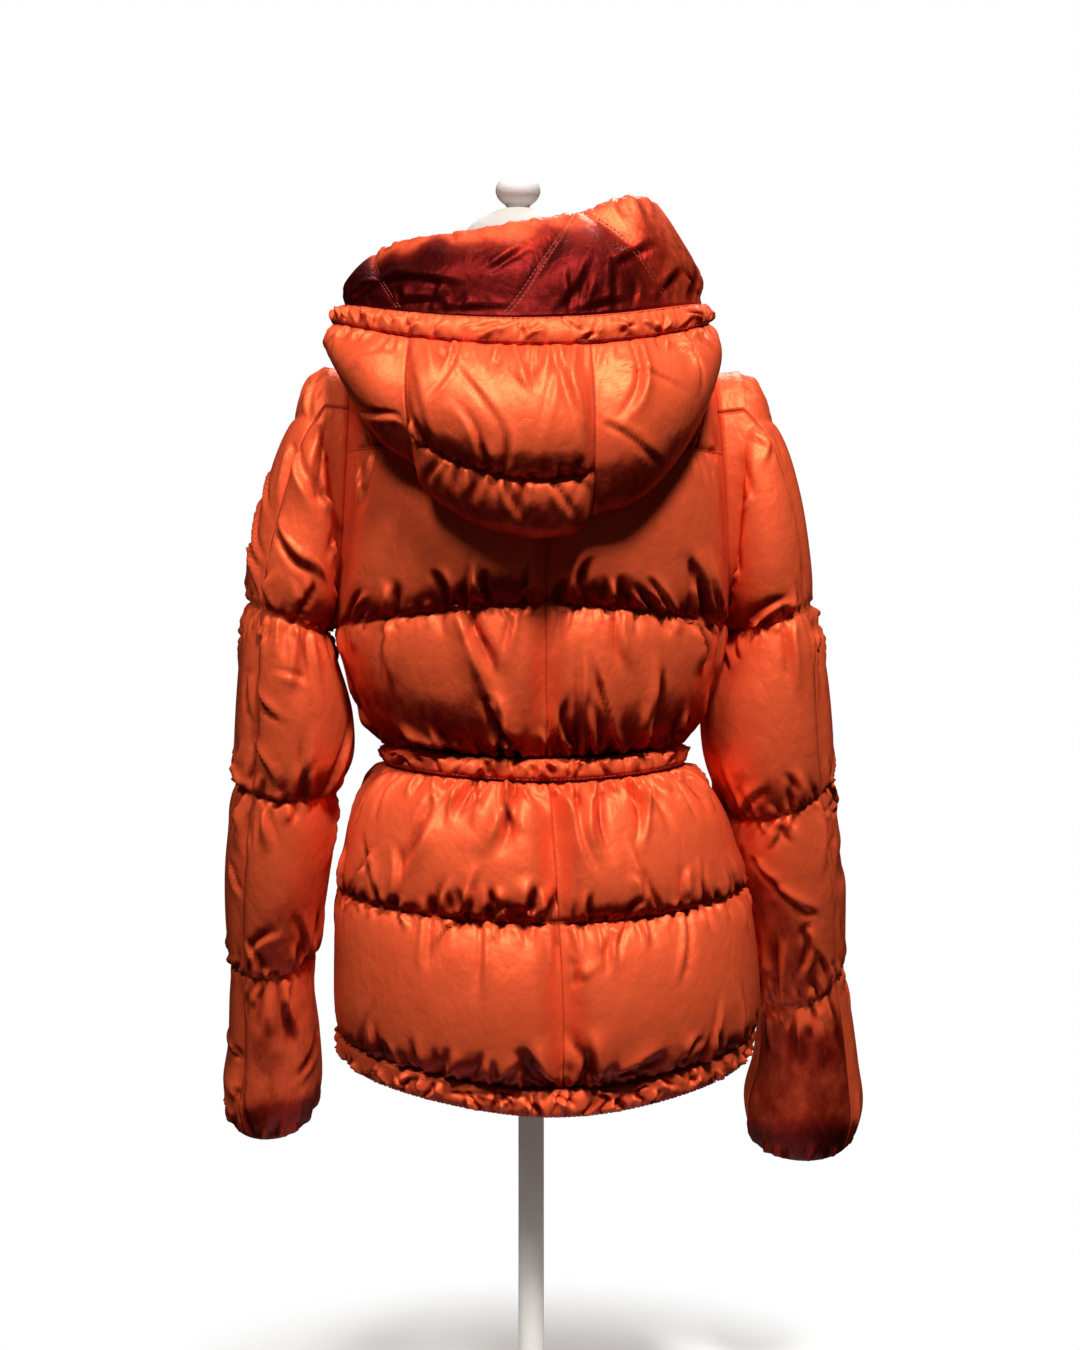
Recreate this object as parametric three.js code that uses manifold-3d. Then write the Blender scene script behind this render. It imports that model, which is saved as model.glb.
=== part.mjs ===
// A hooded puffer jacket, zipped up on a limbless dress form, with its hood thrown back.
// Millimetres, +Z up. The front of the jacket faces -Y and +X is the wearer's left.
// The origin is the centre of the underside of the form's round base.
import * as THREE from 'three';
import { mergeVertices } from 'three/addons/utils/BufferGeometryUtils.js';
import Module from 'manifold-3d';

// Cloth
const WALL = 3; // outer cloth, down and lining pressed together at a stitched line
const HALF_GAP = 0.2; // half of the seam gap between two sewn pieces
const TAPE_WALL = 1.6;
const ARMHOLE_STEP = 1.5; // the sleeve head stands this far off the body at the armhole

const HEM_LEAN = 13; // how far the hem hangs to the right of the neck

// Armhole, on the body's side
const UNDERARM_Z = 706;
const SHOULDER_TIP_Z = 922;
const ARMHOLE_TURN = 17; // degrees that the armhole reaches to the back and to the front

// Front zip
const ZIP_HALF_WIDTH = 9;
const SLIDER_Z = 884;
const TAPE_SINK = 0.8; // the tapes' faces lie this far under the stitched level
const TAB_LENGTH = 30;
const TAB_WIDTH = 7;
const TAB_THICKNESS = 1.6;

// Sleeve seams, in degrees round the sleeve from its back towards its outer side
const INNER_SEAM = -90;
const ELBOW_SEAM = 42;

// Hood: the centre panel's two seams and the front ends, in degrees from the centre back
const HOOD_SEAM_LEFT = 39;
const HOOD_SEAM_RIGHT = -16;
const HOOD_END = 168;
const BRIM_PEAKS = [-113, -19, 75, 169]; // where the stitched zigzag meets the brim's edge
const BRIM_SPREAD = 30; // degrees that each zigzag leg runs sideways

// Dress form
const BASE_RADIUS = 160;
const BASE_HEIGHT = 20;
const POLE_RADIUS = 11;
const FORM_BOTTOM_Z = 358;
const NECK_RADIUS = 48;
const NECK_X = 11; // the form's neck leans this far to its left
const NECK_TOP_Z = 1028;
const CAP_RISE = 30;
const KNOB_RADIUS = 19.5;
const KNOB_HEIGHT = 30;

const DEG = Math.PI / 180;

/** Rows of numbers with named columns. */
function table(columns, rows) {
  return rows.map((row) => Object.fromEntries(columns.map((name, i) => [name, row[i]])));
}

/** Smooth curve through one column of a table, read at a value of its key column. */
function read(rows, key, column, value) {
  const last = rows.length - 1;
  let i = 0;
  while (i < last - 1 && value > rows[i + 1][key]) i += 1;
  const slope = (k) => {
    const a = rows[Math.max(k - 1, 0)];
    const b = rows[Math.min(k + 1, last)];
    return (b[column] - a[column]) / (b[key] - a[key]);
  };
  const from = rows[i];
  const to = rows[i + 1];
  const span = to[key] - from[key];
  const t = Math.min(Math.max((value - from[key]) / span, 0), 1);
  const t2 = t * t;
  const t3 = t2 * t;
  return (2 * t3 - 3 * t2 + 1) * from[column] + (t3 - 2 * t2 + t) * span * slope(i)
    + (3 * t2 - 2 * t3) * to[column] + (t3 - t2) * span * slope(i + 1);
}

const lerp = (a, b, t) => a + (b - a) * t;
const smooth = (t) => THREE.MathUtils.smoothstep(t, 0, 1);

/** Height of a down-filled pillow between two stitched lines, 0 at both and 1 in between. */
function pillow(t) {
  const inside = Math.min(Math.max(t, 0), 1);
  return (4 * inside * (1 - inside)) ** 0.6;
}

// Body of the jacket at its stitched level: half width, depth to the back and to the front,
// and how square the section is (2 is an ellipse).
const BODY = table(['z', 'side', 'back', 'front', 'square'], [
  [315, 168, 116, 112, 2.3],
  [347, 168, 118, 112, 2.3],
  [371, 175, 122, 113, 2.3],
  [430, 173, 124, 112, 2.3],
  [488, 171, 120, 108, 2.3],
  [520, 160, 114, 104, 2.3],
  [545, 153, 108, 101, 2.3],
  [571, 142, 100, 97, 2.25],
  [592, 126, 93, 92, 2.2],
  [602, 121, 90, 90, 2.2],
  [611, 122, 91, 90, 2.2],
  [622, 129, 94, 92, 2.2],
  [640, 140, 100, 97, 2.25],
  [665, 150, 106, 104, 2.3],
  [707, 165, 112, 112, 2.35],
  [760, 168, 116, 118, 2.4],
  [814, 167, 117, 115, 2.4],
  [851, 164, 112, 104, 2.4],
  [880, 161, 103, 92, 2.35],
  [905, 157, 88, 78, 2.3],
  [922, 150, 74, 66, 2.2],
  [935, 118, 67, 62, 2.1],
  [948, 88, 62, 58, 2.05],
  [960, 66, 58, 56, 2],
]);

// Stitched lines round the body: height at the side, and rise at the centre back and front.
const LINES = {
  hemBottom: { z: 344, back: -28, front: 0 },
  hemTop: { z: 368, back: -28, front: 0 },
  lowerQuilt: { z: 488, back: -15, front: 0 },
  waistBottom: { z: 592, back: -9, front: -4 },
  waistTop: { z: 611, back: -9, front: -4 },
  chestQuilt: { z: 707, back: 20, front: 0 },
  yokeQuilt: { z: 851, back: 0, front: 0 },
  neck: { z: 960, back: -12, front: -50 },
};

// Down-filled baffles of the body between two lines, with the loft at the back, side and front.
const BAFFLES = table(['below', 'above', 'back', 'side', 'front', 'rows'], [
  ['hemTop', 'lowerQuilt', 22, 8, 15, 5],
  ['lowerQuilt', 'waistBottom', 18, 8, 12, 5],
  ['waistTop', 'chestQuilt', 17, 7, 12, 5],
  ['chestQuilt', 'yokeQuilt', 18, 6, 14, 5],
  ['yokeQuilt', 'neck', 9, 5, 8, 5],
]);

/** Height of a stitched line at an angle round the body, from the centre back. */
function lineHeight(line, angle) {
  const c = Math.cos(angle);
  const rise = c > 0 ? line.back : line.front;
  return line.z + rise * Math.abs(c) ** 1.5;
}

/** How far the jacket hangs towards its right at a height, more and more under the waist. */
function bodyLean(z) {
  return -HEM_LEAN * smooth((UNDERARM_Z - z) / (UNDERARM_Z - LINES.hemBottom.z));
}

/**
 * Point of the body's stitched level at an angle from the centre back towards the left (hand 1)
 * or the right (hand -1), and a height.
 */
function bodyPoint(angle, z, hand = 1) {
  const side = read(BODY, 'z', 'side', z);
  const depth = read(BODY, 'z', Math.cos(angle) > 0 ? 'back' : 'front', z);
  const n = read(BODY, 'z', 'square', z);
  const radius = ((Math.abs(Math.cos(angle)) / depth) ** n + (Math.abs(Math.sin(angle)) / side) ** n) ** (-1 / n);
  return new THREE.Vector3(hand * radius * Math.sin(angle) + bodyLean(z), radius * Math.cos(angle), z);
}

/** Outward direction of a surface at(u, v), by small steps along it. */
function outward(at, u, v, sign) {
  const h = 1e-3;
  const du = at(Math.min(u + h, 1), v).sub(at(Math.max(u - h, 0), v));
  const dv = at(u, Math.min(v + h, 1)).sub(at(u, Math.max(v - h, 0)));
  return du.cross(dv).normalize().multiplyScalar(sign);
}

/** Closed solid through rings of as many points each, with a flat cap at both ends. */
function loft(rings) {
  const count = rings[0].length;
  const points = rings.flat();
  const faces = [];
  for (let j = 0; j < rings.length - 1; j += 1) {
    for (let i = 0; i < count; i += 1) {
      const a = j * count + i;
      const b = j * count + ((i + 1) % count);
      faces.push([a, b, b + count], [a, b + count, a + count]);
    }
  }
  [0, rings.length - 1].forEach((j) => {
    points.push(rings[j].reduce((sum, p) => sum.add(p), new THREE.Vector3()).divideScalar(count));
    for (let i = 0; i < count; i += 1) {
      const a = j * count + i;
      const b = j * count + ((i + 1) % count);
      faces.push(j === 0 ? [b, a, points.length - 1] : [a, b, points.length - 1]);
    }
  });
  return meshGeometry(points, faces);
}

/** Geometry of points and triangles, turned so that its faces point out. */
function meshGeometry(points, faces) {
  const volume = faces.reduce((sum, [a, b, c]) => sum
    + points[a].dot(new THREE.Vector3().crossVectors(points[b], points[c])), 0);
  const geometry = new THREE.BufferGeometry();
  geometry.setAttribute('position', new THREE.Float32BufferAttribute(points.flatMap((p) => p.toArray()), 3));
  geometry.setIndex((volume < 0 ? faces.map(([a, b, c]) => [a, c, b]) : faces).flat());
  return geometry;
}

/**
 * Cloth wall: skin(u, v) gives the point and outward direction at the stitched level, and
 * raise(u, v) how far the outside stands over it. The inside is plain.
 */
function wall(columns, rows, skin, raise, thickness = WALL) {
  const inner = [];
  const outer = [];
  for (let j = 0; j <= rows; j += 1) {
    const insideRow = [];
    const outsideRow = [];
    for (let i = 0; i <= columns; i += 1) {
      const { point, normal } = skin(i / columns, j / rows);
      insideRow.push(point.clone().addScaledVector(normal, -thickness));
      outsideRow.push(point.clone().addScaledVector(normal, raise(i / columns, j / rows)));
    }
    inner.push(insideRow);
    outer.push(outsideRow);
  }
  const count = columns + 1;
  const size = count * (rows + 1);
  const points = [...inner.flat(), ...outer.flat()];
  const faces = [];
  const quad = (a, b, c, d) => faces.push([a, b, c], [a, c, d]);
  for (let j = 0; j < rows; j += 1) {
    for (let i = 0; i < columns; i += 1) {
      const a = j * count + i;
      quad(a, a + count, a + count + 1, a + 1);
      quad(size + a, size + a + 1, size + a + count + 1, size + a + count);
    }
  }
  for (let i = 0; i < columns; i += 1) {
    const top = rows * count + i;
    quad(i, i + 1, size + i + 1, size + i);
    quad(top, size + top, size + top + 1, top + 1);
  }
  for (let j = 0; j < rows; j += 1) {
    const a = j * count;
    const b = a + columns;
    quad(a + count, a, size + a, size + a + count);
    quad(b + count, size + b + count, size + b, b);
  }
  return meshGeometry(points, faces);
}

const jacket = new THREE.Group();
jacket.name = 'puffer_jacket_on_dress_form';

const satin = new THREE.MeshStandardMaterial({ color: 0xc84a26, roughness: 0.42, metalness: 0 });
const casingSatin = new THREE.MeshStandardMaterial({ color: 0xb23f20, roughness: 0.45, metalness: 0 });
const tape = new THREE.MeshStandardMaterial({ color: 0x8a2c16, roughness: 0.8, metalness: 0 });
const metal = new THREE.MeshStandardMaterial({ color: 0x6d6a66, roughness: 0.35, metalness: 1 });
const formCloth = new THREE.MeshStandardMaterial({ color: 0xe9e4de, roughness: 0.9, metalness: 0 });
const formWood = new THREE.MeshStandardMaterial({ color: 0xf3f1ec, roughness: 0.5, metalness: 0 });

/** Add a named sub-part to the jacket. */
function add(name, geometry, material) {
  const mesh = new THREE.Mesh(geometry, material);
  mesh.name = name;
  jacket.add(mesh);
  return mesh;
}

/** Angle at which the zip starts at the centre front, at a height. */
function zipAngle(z) {
  return Math.PI - Math.asin(ZIP_HALF_WIDTH / read(BODY, 'z', 'front', z));
}

/** How far the armhole has opened at a height: 0 below the underarm and above the shoulder. */
function armholeOpening(z) {
  const middle = (UNDERARM_Z + SHOULDER_TIP_Z) / 2;
  const reach = (z - middle) / (SHOULDER_TIP_Z - middle);
  return Math.abs(reach) < 1 ? Math.sqrt(1 - reach * reach) : 0;
}

// Body panels. Each half of the back and of the front is cut in an upper and a lower piece.
const SIDE_GAP = HALF_GAP / 165; // radians
const BACK_GAP = HALF_GAP / 115;

/** First and last angle of a back or front panel at the height of its side edge. */
function panelAngles(isBack, z) {
  const turn = ARMHOLE_TURN * DEG * armholeOpening(z);
  const edge = Math.PI / 2;
  return isBack ? [BACK_GAP, edge - turn - SIDE_GAP] : [edge + turn + SIDE_GAP, zipAngle(z) - BACK_GAP];
}

/** One cut piece of the body, over some of the baffles, on the left (1) or right (-1). */
function bodyPanel(name, isBack, hand, baffles, columns) {
  const rows = baffles.reduce((sum, baffle) => sum + baffle.rows, 0);
  const place = (v) => {
    let row = v * rows;
    let index = 0;
    while (index < baffles.length - 1 && row > baffles[index].rows) {
      row -= baffles[index].rows;
      index += 1;
    }
    return { baffle: baffles[index], t: row / baffles[index].rows };
  };
  const at = (u, v) => {
    const { baffle, t } = place(v);
    const below = LINES[baffle.below];
    const above = LINES[baffle.above];
    const trim = lerp(HALF_GAP, -HALF_GAP, v);
    const sideZ = lerp(below.z, above.z, t) + trim;
    const [start, end] = panelAngles(isBack, sideZ);
    const angle = lerp(start, end, u);
    const z = lerp(lineHeight(below, angle), lineHeight(above, angle), t) + trim;
    return bodyPoint(angle, z, hand);
  };
  const skin = (u, v) => ({ point: at(u, v), normal: outward(at, u, v, -hand) });
  const raise = (u, v) => {
    const { baffle, t } = place(v);
    const sideZ = lerp(LINES[baffle.below].z, LINES[baffle.above].z, t);
    const [start, end] = panelAngles(isBack, sideZ);
    const angle = lerp(start, end, u);
    const facing = Math.cos(angle) ** 2;
    const middle = lerp(baffle.side, isBack ? baffle.back : baffle.front, facing);
    const seamed = isBack ? u : 1 - u; // 0 at the centre seam or zip, 1 at the side
    const centrePinch = 1 - 0.7 * Math.exp(-((seamed / 0.09) ** 2));
    const armPinch = lerp(1, smooth((1 - seamed) / 0.22), armholeOpening(sideZ) > 0 ? 1 : 0);
    const sidePinch = 1 - 0.6 * Math.exp(-(((1 - seamed) / 0.08) ** 2));
    const gather = Math.cos(Math.PI * u * columns) * gatherDepth(baffle, t);
    return middle * pillow(t) * centrePinch * armPinch * sidePinch + Math.max(gather, 0) * pillow(t) ** 0.3;
  };
  add(name, wall(columns, rows, skin, raise), satin);
}

/** Depth of the gathers that a seam draws up, at a fraction of a baffle's height. */
function gatherDepth(baffle, t) {
  const fade = (distance) => 5 * Math.exp(-distance / 0.28);
  const fromBelow = fade(t);
  const fromAbove = fade(1 - t);
  const waistAbove = baffle.above === 'waistBottom' ? 1.5 : 0.6;
  const waistBelow = baffle.below === 'waistTop' ? 1.5 : 0.6;
  return baffle.above === 'neck' ? 0 : fromBelow * waistBelow + fromAbove * waistAbove;
}

const LOWER = BAFFLES.slice(0, 2);
const UPPER = BAFFLES.slice(2);
[['left', 1], ['right', -1]].forEach(([side, hand]) => {
  bodyPanel(`back_upper_${side}`, true, hand, UPPER, 14);
  bodyPanel(`back_lower_${side}`, true, hand, LOWER, 14);
  bodyPanel(`front_upper_${side}`, false, hand, UPPER, 8);
  bodyPanel(`front_lower_${side}`, false, hand, LOWER, 8);
});

/** Gathered casing round the body between two lines, open at the zip. */
function bodyCasing(name, below, above, columns, crown, gather) {
  const rows = 3;
  const end = zipAngle(below.z) - BACK_GAP;
  const at = (u, v) => {
    const angle = lerp(-end, end, u);
    const trim = lerp(HALF_GAP, -HALF_GAP, v);
    return bodyPoint(angle, lerp(lineHeight(below, angle), lineHeight(above, angle), v) + trim);
  };
  const skin = (u, v) => ({ point: at(u, v), normal: outward(at, u, v, -1) });
  const raise = (u, v) => (crown + gather * Math.cos(Math.PI * u * columns)) * pillow(v);
  add(name, wall(columns, rows, skin, raise), casingSatin);
}

bodyCasing('waist_casing', LINES.waistBottom, LINES.waistTop, 56, 6, 1.6);
bodyCasing('hem_casing', LINES.hemBottom, LINES.hemTop, 56, 5.5, 1.5);

// Sleeves: each row is a ring through an outer and an inner point, with its middle's place in
// depth, half its depth, its tilt forward in degrees and its loft. The first five rows are the
// sleeve head, which turns about the underarm.
const SLEEVE_COLUMNS = ['outX', 'outZ', 'inX', 'inZ', 'y', 'depth', 'tilt', 'loft'];
const HEAD_ROWS = 5;
const SLEEVES = {
  left: table(SLEEVE_COLUMNS, [
    [174, 924, 168.6, 705.5, 0, 50, 0, 8],
    [190, 900, 169.6, 705, 0, 56, 0, 8],
    [202, 868, 170.6, 704.5, 0, 59, 0, 8],
    [215, 822, 171.6, 704, -1, 61, 0, 8],
    [227, 775, 172.8, 703, -2, 60, 0, 8],
    [235, 728, 174, 702, -4, 57, 2, 0],
    [237, 690, 168, 672, -6, 60, 4, 7],
    [239, 652, 160, 638, -9, 62, 6, 9],
    [242, 612, 158, 602, -12, 60, 8, 7],
    [246, 577, 168, 572, -14, 55, 10, 0],
    [249, 542, 171, 538, -22, 57, 12, 6],
    [252, 503, 178, 497, -32, 57, 14, 7],
    [253, 460, 183, 459, -42, 54, 15, 6],
    [253, 419, 186, 428, -50, 49, 15, 0],
    [253, 386, 188, 388, -58, 49, 16, 4],
    [254, 343, 184, 345, -70, 50, 17, 5],
    [259, 307, 183, 309, -78, 50, 16, 4],
    [257, 272, 189, 276, -86, 45, 15, 0],
  ]),
  right: table(SLEEVE_COLUMNS, [
    [177, 925, 168.6, 705.5, 0, 50, 0, 8],
    [196, 902, 169.6, 705, 0, 56, 0, 8],
    [210, 868, 170.6, 704.5, 0, 59, 0, 8],
    [221, 822, 171.6, 704, -1, 61, 0, 8],
    [230, 775, 172.8, 703, -2, 60, 0, 8],
    [240, 727, 174, 703, -4, 57, 2, 0],
    [245, 690, 167, 672, -6, 60, 4, 7],
    [250, 650, 159, 638, -9, 62, 6, 9],
    [255, 610, 161, 592, -12, 61, 8, 7],
    [260, 577, 175, 545, -15, 56, 10, 0],
    [265, 540, 183, 512, -24, 58, 12, 6],
    [273, 495, 194, 474, -35, 58, 14, 7],
    [277, 450, 202, 430, -45, 54, 15, 6],
    [283, 408, 213, 378, -55, 49, 15, 0],
    [292, 361, 218, 345, -66, 50, 16, 4],
    [300, 314, 217, 307, -76, 53, 17, 6],
    [307, 278, 210, 274, -84, 54, 16, 4],
    [304, 244, 214, 238, -92, 49, 15, 0],
  ]),
};

/** Height of the quilted line that crosses the sleeve head, by distance from the centre. */
function headLine(x) {
  return 850 + 30 * smooth((x - 150) / 42);
}

/** Loft of the sleeve head at a point, in the pillows over and under its quilted line. */
function headLoft(point, ring) {
  const x = Math.abs(point.x);
  const line = headLine(x);
  const under = lerp(ring.inZ, ring.outZ, smooth((x - ring.inX) / (ring.outX - ring.inX)));
  return point.z > line ? pillow((point.z - line) / (946 - line)) : pillow((point.z - under) / (line - under));
}

/** Ring of a sleeve at an angle from its back: point and outward direction on the left arm. */
function sleeveRing(row, angle) {
  const reach = new THREE.Vector3(row.outX - row.inX, 0, row.outZ - row.inZ).multiplyScalar(0.5);
  const depth = new THREE.Vector3(0, Math.cos(row.tilt * DEG), -Math.sin(row.tilt * DEG)).multiplyScalar(row.depth);
  const centre = new THREE.Vector3((row.outX + row.inX) / 2, row.y, (row.outZ + row.inZ) / 2);
  const point = centre.clone().addScaledVector(reach, Math.sin(angle)).addScaledVector(depth, Math.cos(angle));
  const normal = reach.clone().multiplyScalar(Math.sin(angle) / reach.lengthSq())
    .addScaledVector(depth, Math.cos(angle) / depth.lengthSq()).normalize();
  return { point, normal };
}

/** Armhole edge of a sleeve at an angle from its back, just off the body. */
function armholeRing(angle) {
  const middle = (UNDERARM_Z + SHOULDER_TIP_Z) / 2;
  const half = (SHOULDER_TIP_Z - UNDERARM_Z) / 2;
  const z = middle + half * Math.sin(angle);
  const point = bodyPoint(Math.PI / 2 - ARMHOLE_TURN * DEG * Math.cos(angle), z);
  point.x += ARMHOLE_STEP;
  const width = Math.abs(bodyPoint(Math.PI / 2 - ARMHOLE_TURN * DEG, middle).y);
  const normal = new THREE.Vector3(0, Math.cos(angle) / width, Math.sin(angle) / half).normalize();
  return { point, normal };
}

/** One cut piece of a sleeve between two seams. */
function sleevePiece(name, rings, hand, fromSeam, toSeam, columns) {
  const rows = rings.length;
  const ringAt = (u, v) => {
    const index = Math.round(v * rows) - 1;
    const seamGap = HALF_GAP / 48;
    const angle = lerp(fromSeam * DEG + seamGap, toSeam * DEG - seamGap, u);
    const ring = index < 0 ? armholeRing(angle) : sleeveRing(rings[index], angle);
    return { ...ring, index };
  };
  const skin = (u, v) => {
    const { point, normal } = ringAt(u, v);
    point.x *= hand;
    normal.x *= hand;
    return { point, normal };
  };
  const raise = (u, v) => {
    const { point, index } = ringAt(u, v);
    if (index < 0) return 0;
    const seamPinch = 1 - 0.5 * Math.exp(-((Math.min(u, 1 - u) / 0.05) ** 2));
    const head = index < HEAD_ROWS ? headLoft(point, rings[HEAD_ROWS]) : 1;
    return rings[index].loft * head * seamPinch;
  };
  add(name, wall(columns, rows, skin, raise), satin);
}

[['left', 1], ['right', -1]].forEach(([side, hand]) => {
  sleevePiece(`sleeve_${side}_back`, SLEEVES[side], hand, INNER_SEAM, ELBOW_SEAM, 6);
  sleevePiece(`sleeve_${side}_front`, SLEEVES[side], hand, ELBOW_SEAM, INNER_SEAM + 360, 10);
});

// Hood: rows from the brim's edge over the pouch that hangs behind the shoulders, round its
// bottom and back up to the neck seam. Each row passes a point at the centre back, one at each
// side and one at the centre front, and is shifted to the wearer's left as a whole.
const HOOD_COLUMNS = [
  'v', 'backY', 'backZ', 'sideX', 'sideY', 'sideZ', 'frontX', 'frontY', 'frontZ', 'shift',
];
const HOOD = table(HOOD_COLUMNS, [
  [0, 96, 1022, 120, 24, 1008, 104, -94, 1002, 12],
  [0.5, 127, 988, 137, 32, 990, 110, -102, 986, 11],
  [1, 148, 947, 147, 42, 971, 108, -100, 970, 10],
  [1.5, 156, 925, 153, 48, 956, 104, -96, 954, 12],
  [2, 172, 893, 157, 54, 946, 100, -94, 947, 13],
  [3, 180, 856, 157, 58, 940, 95, -92, 941, 13],
  [4, 175, 822, 154, 61, 936, 91, -90, 936, 12],
  [5, 156, 790, 149, 61, 933, 88, -88, 931, 10],
  [6, 138, 800, 141, 57, 934, 85, -86, 927, 7],
  [7, 134, 842, 128, 50, 940, 82, -84, 923, 4],
  [8, 121, 896, 110, 40, 951, 78, -82, 920, 2],
  [9, 98, 942, 92, 27, 962, 75, -80, 917, 1],
  [10, 77, 958, 79, 14, 968, 72, -78, 914.5, 0],
]);
const NECK_STEP = 1.5; // the hood's edge stands this far over the neck seam
const SHOULDER_CLEAR = 10; // over the loft of the yoke
const CASING_TOP = 1;
const CASING_BOTTOM = 1.5;
const HOOD_QUILT = 4;
const HOOD_NECK = 11;

// The thrown-back hood sits askew: extra height of the brim's edge by angle from the centre back.
const BRIM_LIFT = table(['angle', 'lift'], [
  [-180, 0],
  [-110, -8],
  [-72, 10],
  [-47, 34],
  [-19, 17],
  [22, 0],
  [78, 4],
  [110, -8],
  [180, 0],
]);

/** Height of the body's shoulders over a point seen from above, or -Infinity beside them. */
function shoulderHeight(x, y) {
  const isOver = (z) => {
    const edge = bodyPoint(Math.atan2(x, y), z);
    return Math.hypot(edge.x, edge.y) > Math.hypot(x, y);
  };
  let low = LINES.yokeQuilt.z;
  let high = LINES.neck.z;
  if (!isOver(low)) return -Infinity;
  for (let step = 0; step < 24; step += 1) {
    const z = (low + high) / 2;
    if (isOver(z)) low = z;
    else high = z;
  }
  return (low + high) / 2;
}

/** Point of the hood's stitched level at an angle from the centre back and a table row. */
function hoodPoint(angle, v) {
  const s = Math.sin(angle);
  const c = Math.cos(angle);
  const get = (column) => read(HOOD, 'v', column, v);
  const part = Math.abs(c);
  const width = c > 0 ? get('sideX') : lerp(get('sideX'), get('frontX'), smooth(part));
  const x = width * s + get('shift');
  const y = lerp(get('sideY'), c > 0 ? get('backY') : get('frontY'), part);
  const lift = read(BRIM_LIFT, 'angle', 'lift', angle / DEG) * smooth(1 - v / 1.2);
  const sway = v < HOOD_QUILT ? 4 * s * (1 - v / HOOD_QUILT) : 0; // the right end rides higher
  const free = lerp(get('sideZ'), c > 0 ? get('backZ') : get('frontZ'), part ** 1.5) + lift - sway;
  const laid = shoulderHeight(x, y) + SHOULDER_CLEAR * smooth((HOOD_NECK - v) / 2);
  const neckline = bodyPoint(angle, lineHeight(LINES.neck, angle));
  neckline.z += NECK_STEP;
  return new THREE.Vector3(x, y, Math.max(free, laid)).lerp(neckline, Math.max(v - HOOD_NECK + 1, 0));
}

/** One piece of the hood between two angles and two table rows, cut at the given rows. */
function hoodPiece(name, from, to, stops, columns, raised, material) {
  const gap = HALF_GAP / 120;
  const trim = HALF_GAP / 20;
  const rows = stops.length - 1;
  const rowAt = (v) => {
    const index = Math.min(Math.floor(v * rows), rows - 1);
    return lerp(stops[index], stops[index + 1], v * rows - index);
  };
  const first = stops[0] + (stops[0] > 0 ? trim : 0);
  const last = stops[rows] - (stops[rows] < HOOD_NECK ? trim : 0);
  const at = (u, v) => hoodPoint(
    lerp(from * DEG + gap, to * DEG - gap, u),
    Math.min(Math.max(rowAt(v), first), last),
  );
  const skin = (u, v) => ({ point: at(u, v), normal: outward(at, u, v, 1) });
  const raise = (u, v) => raised(lerp(from, to, u), rowAt(v), u, v);
  add(name, wall(columns, rows, skin, raise), material);
}

/** Loft of the brim between its zigzag lines, with a thick folded edge. */
function brimLoft(angle, row) {
  const down = row / CASING_TOP;
  const distances = BRIM_PEAKS.map((peak) => Math.abs(Math.abs(angle - peak) - BRIM_SPREAD * down));
  const nearest = Math.min(...distances) / BRIM_SPREAD;
  const edge = 1 - smooth((down - 0.55) / 0.45);
  return (5 + 9 * Math.min(nearest, 1) ** 0.6) * lerp(0.05, 1, edge);
}

/** Loft of the pouch: full outside, thin where it lies against the back and over the shoulders. */
function pouchLoft(angle, row, u, quilted) {
  const seam = 1 - 0.8 * Math.exp(-((Math.min(u, 1 - u) / 0.06) ** 2));
  const facing = Math.max(Math.cos(angle * DEG), 0) ** 0.5;
  const upper = pillow((row - CASING_BOTTOM) / (HOOD_QUILT - CASING_BOTTOM));
  const lower = pillow((row - HOOD_QUILT) / 2);
  const whole = pillow((row - CASING_BOTTOM) / (6 - CASING_BOTTOM));
  const shape = quilted ? Math.max(upper * (row < HOOD_QUILT), lower * (row > HOOD_QUILT) * 0.7) : whole;
  return row > 5.5 ? 0 : 14 * shape * seam * facing;
}

const BRIM_STOPS = [0, 0.2, 0.4, 0.6, 0.8, CASING_TOP];
const CASING_STOPS = [CASING_TOP, 1.17, 1.33, CASING_BOTTOM];
const POUCH_STOPS = [CASING_BOTTOM, 2, 2.7, 3.4, HOOD_QUILT, 4.5, 5, 6, 7, 8, 9, 10, HOOD_NECK];
const CASING_COLUMNS = 48;

hoodPiece('hood_brim', -HOOD_END, HOOD_END, BRIM_STOPS, 44, brimLoft, satin);
hoodPiece(
  'hood_casing', -HOOD_END, HOOD_END, CASING_STOPS, CASING_COLUMNS,
  (angle, row, u, v) => (5.5 + 1.5 * Math.cos(Math.PI * u * CASING_COLUMNS)) * pillow(v), casingSatin,
);
[
  ['hood_centre', HOOD_SEAM_RIGHT, HOOD_SEAM_LEFT, 8, true],
  ['hood_left', HOOD_SEAM_LEFT, HOOD_END, 11, false],
  ['hood_right', -HOOD_END, HOOD_SEAM_RIGHT, 13, false],
].forEach(([name, from, to, columns, quilted]) => {
  hoodPiece(name, from, to, POUCH_STOPS, columns, (angle, row, u) => pouchLoft(angle, row, u, quilted), satin);
});

// Front zip: two tapes from the hem to the neck, a slider at the top and its pull tab.
const ZIP_TOP_Z = LINES.neck.z + LINES.neck.front;
[['left', 1], ['right', -1]].forEach(([side, hand]) => {
  const at = (u, v) => {
    const z = lerp(LINES.hemBottom.z, ZIP_TOP_Z, v);
    return bodyPoint(lerp(zipAngle(z) + 2 * BACK_GAP, Math.PI - BACK_GAP, u), z, hand);
  };
  const skin = (u, v) => ({ point: at(u, v), normal: outward(at, u, v, -hand) });
  add(`zip_tape_${side}`, wall(1, 20, skin, () => -TAPE_SINK, TAPE_WALL), tape);
});

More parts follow.
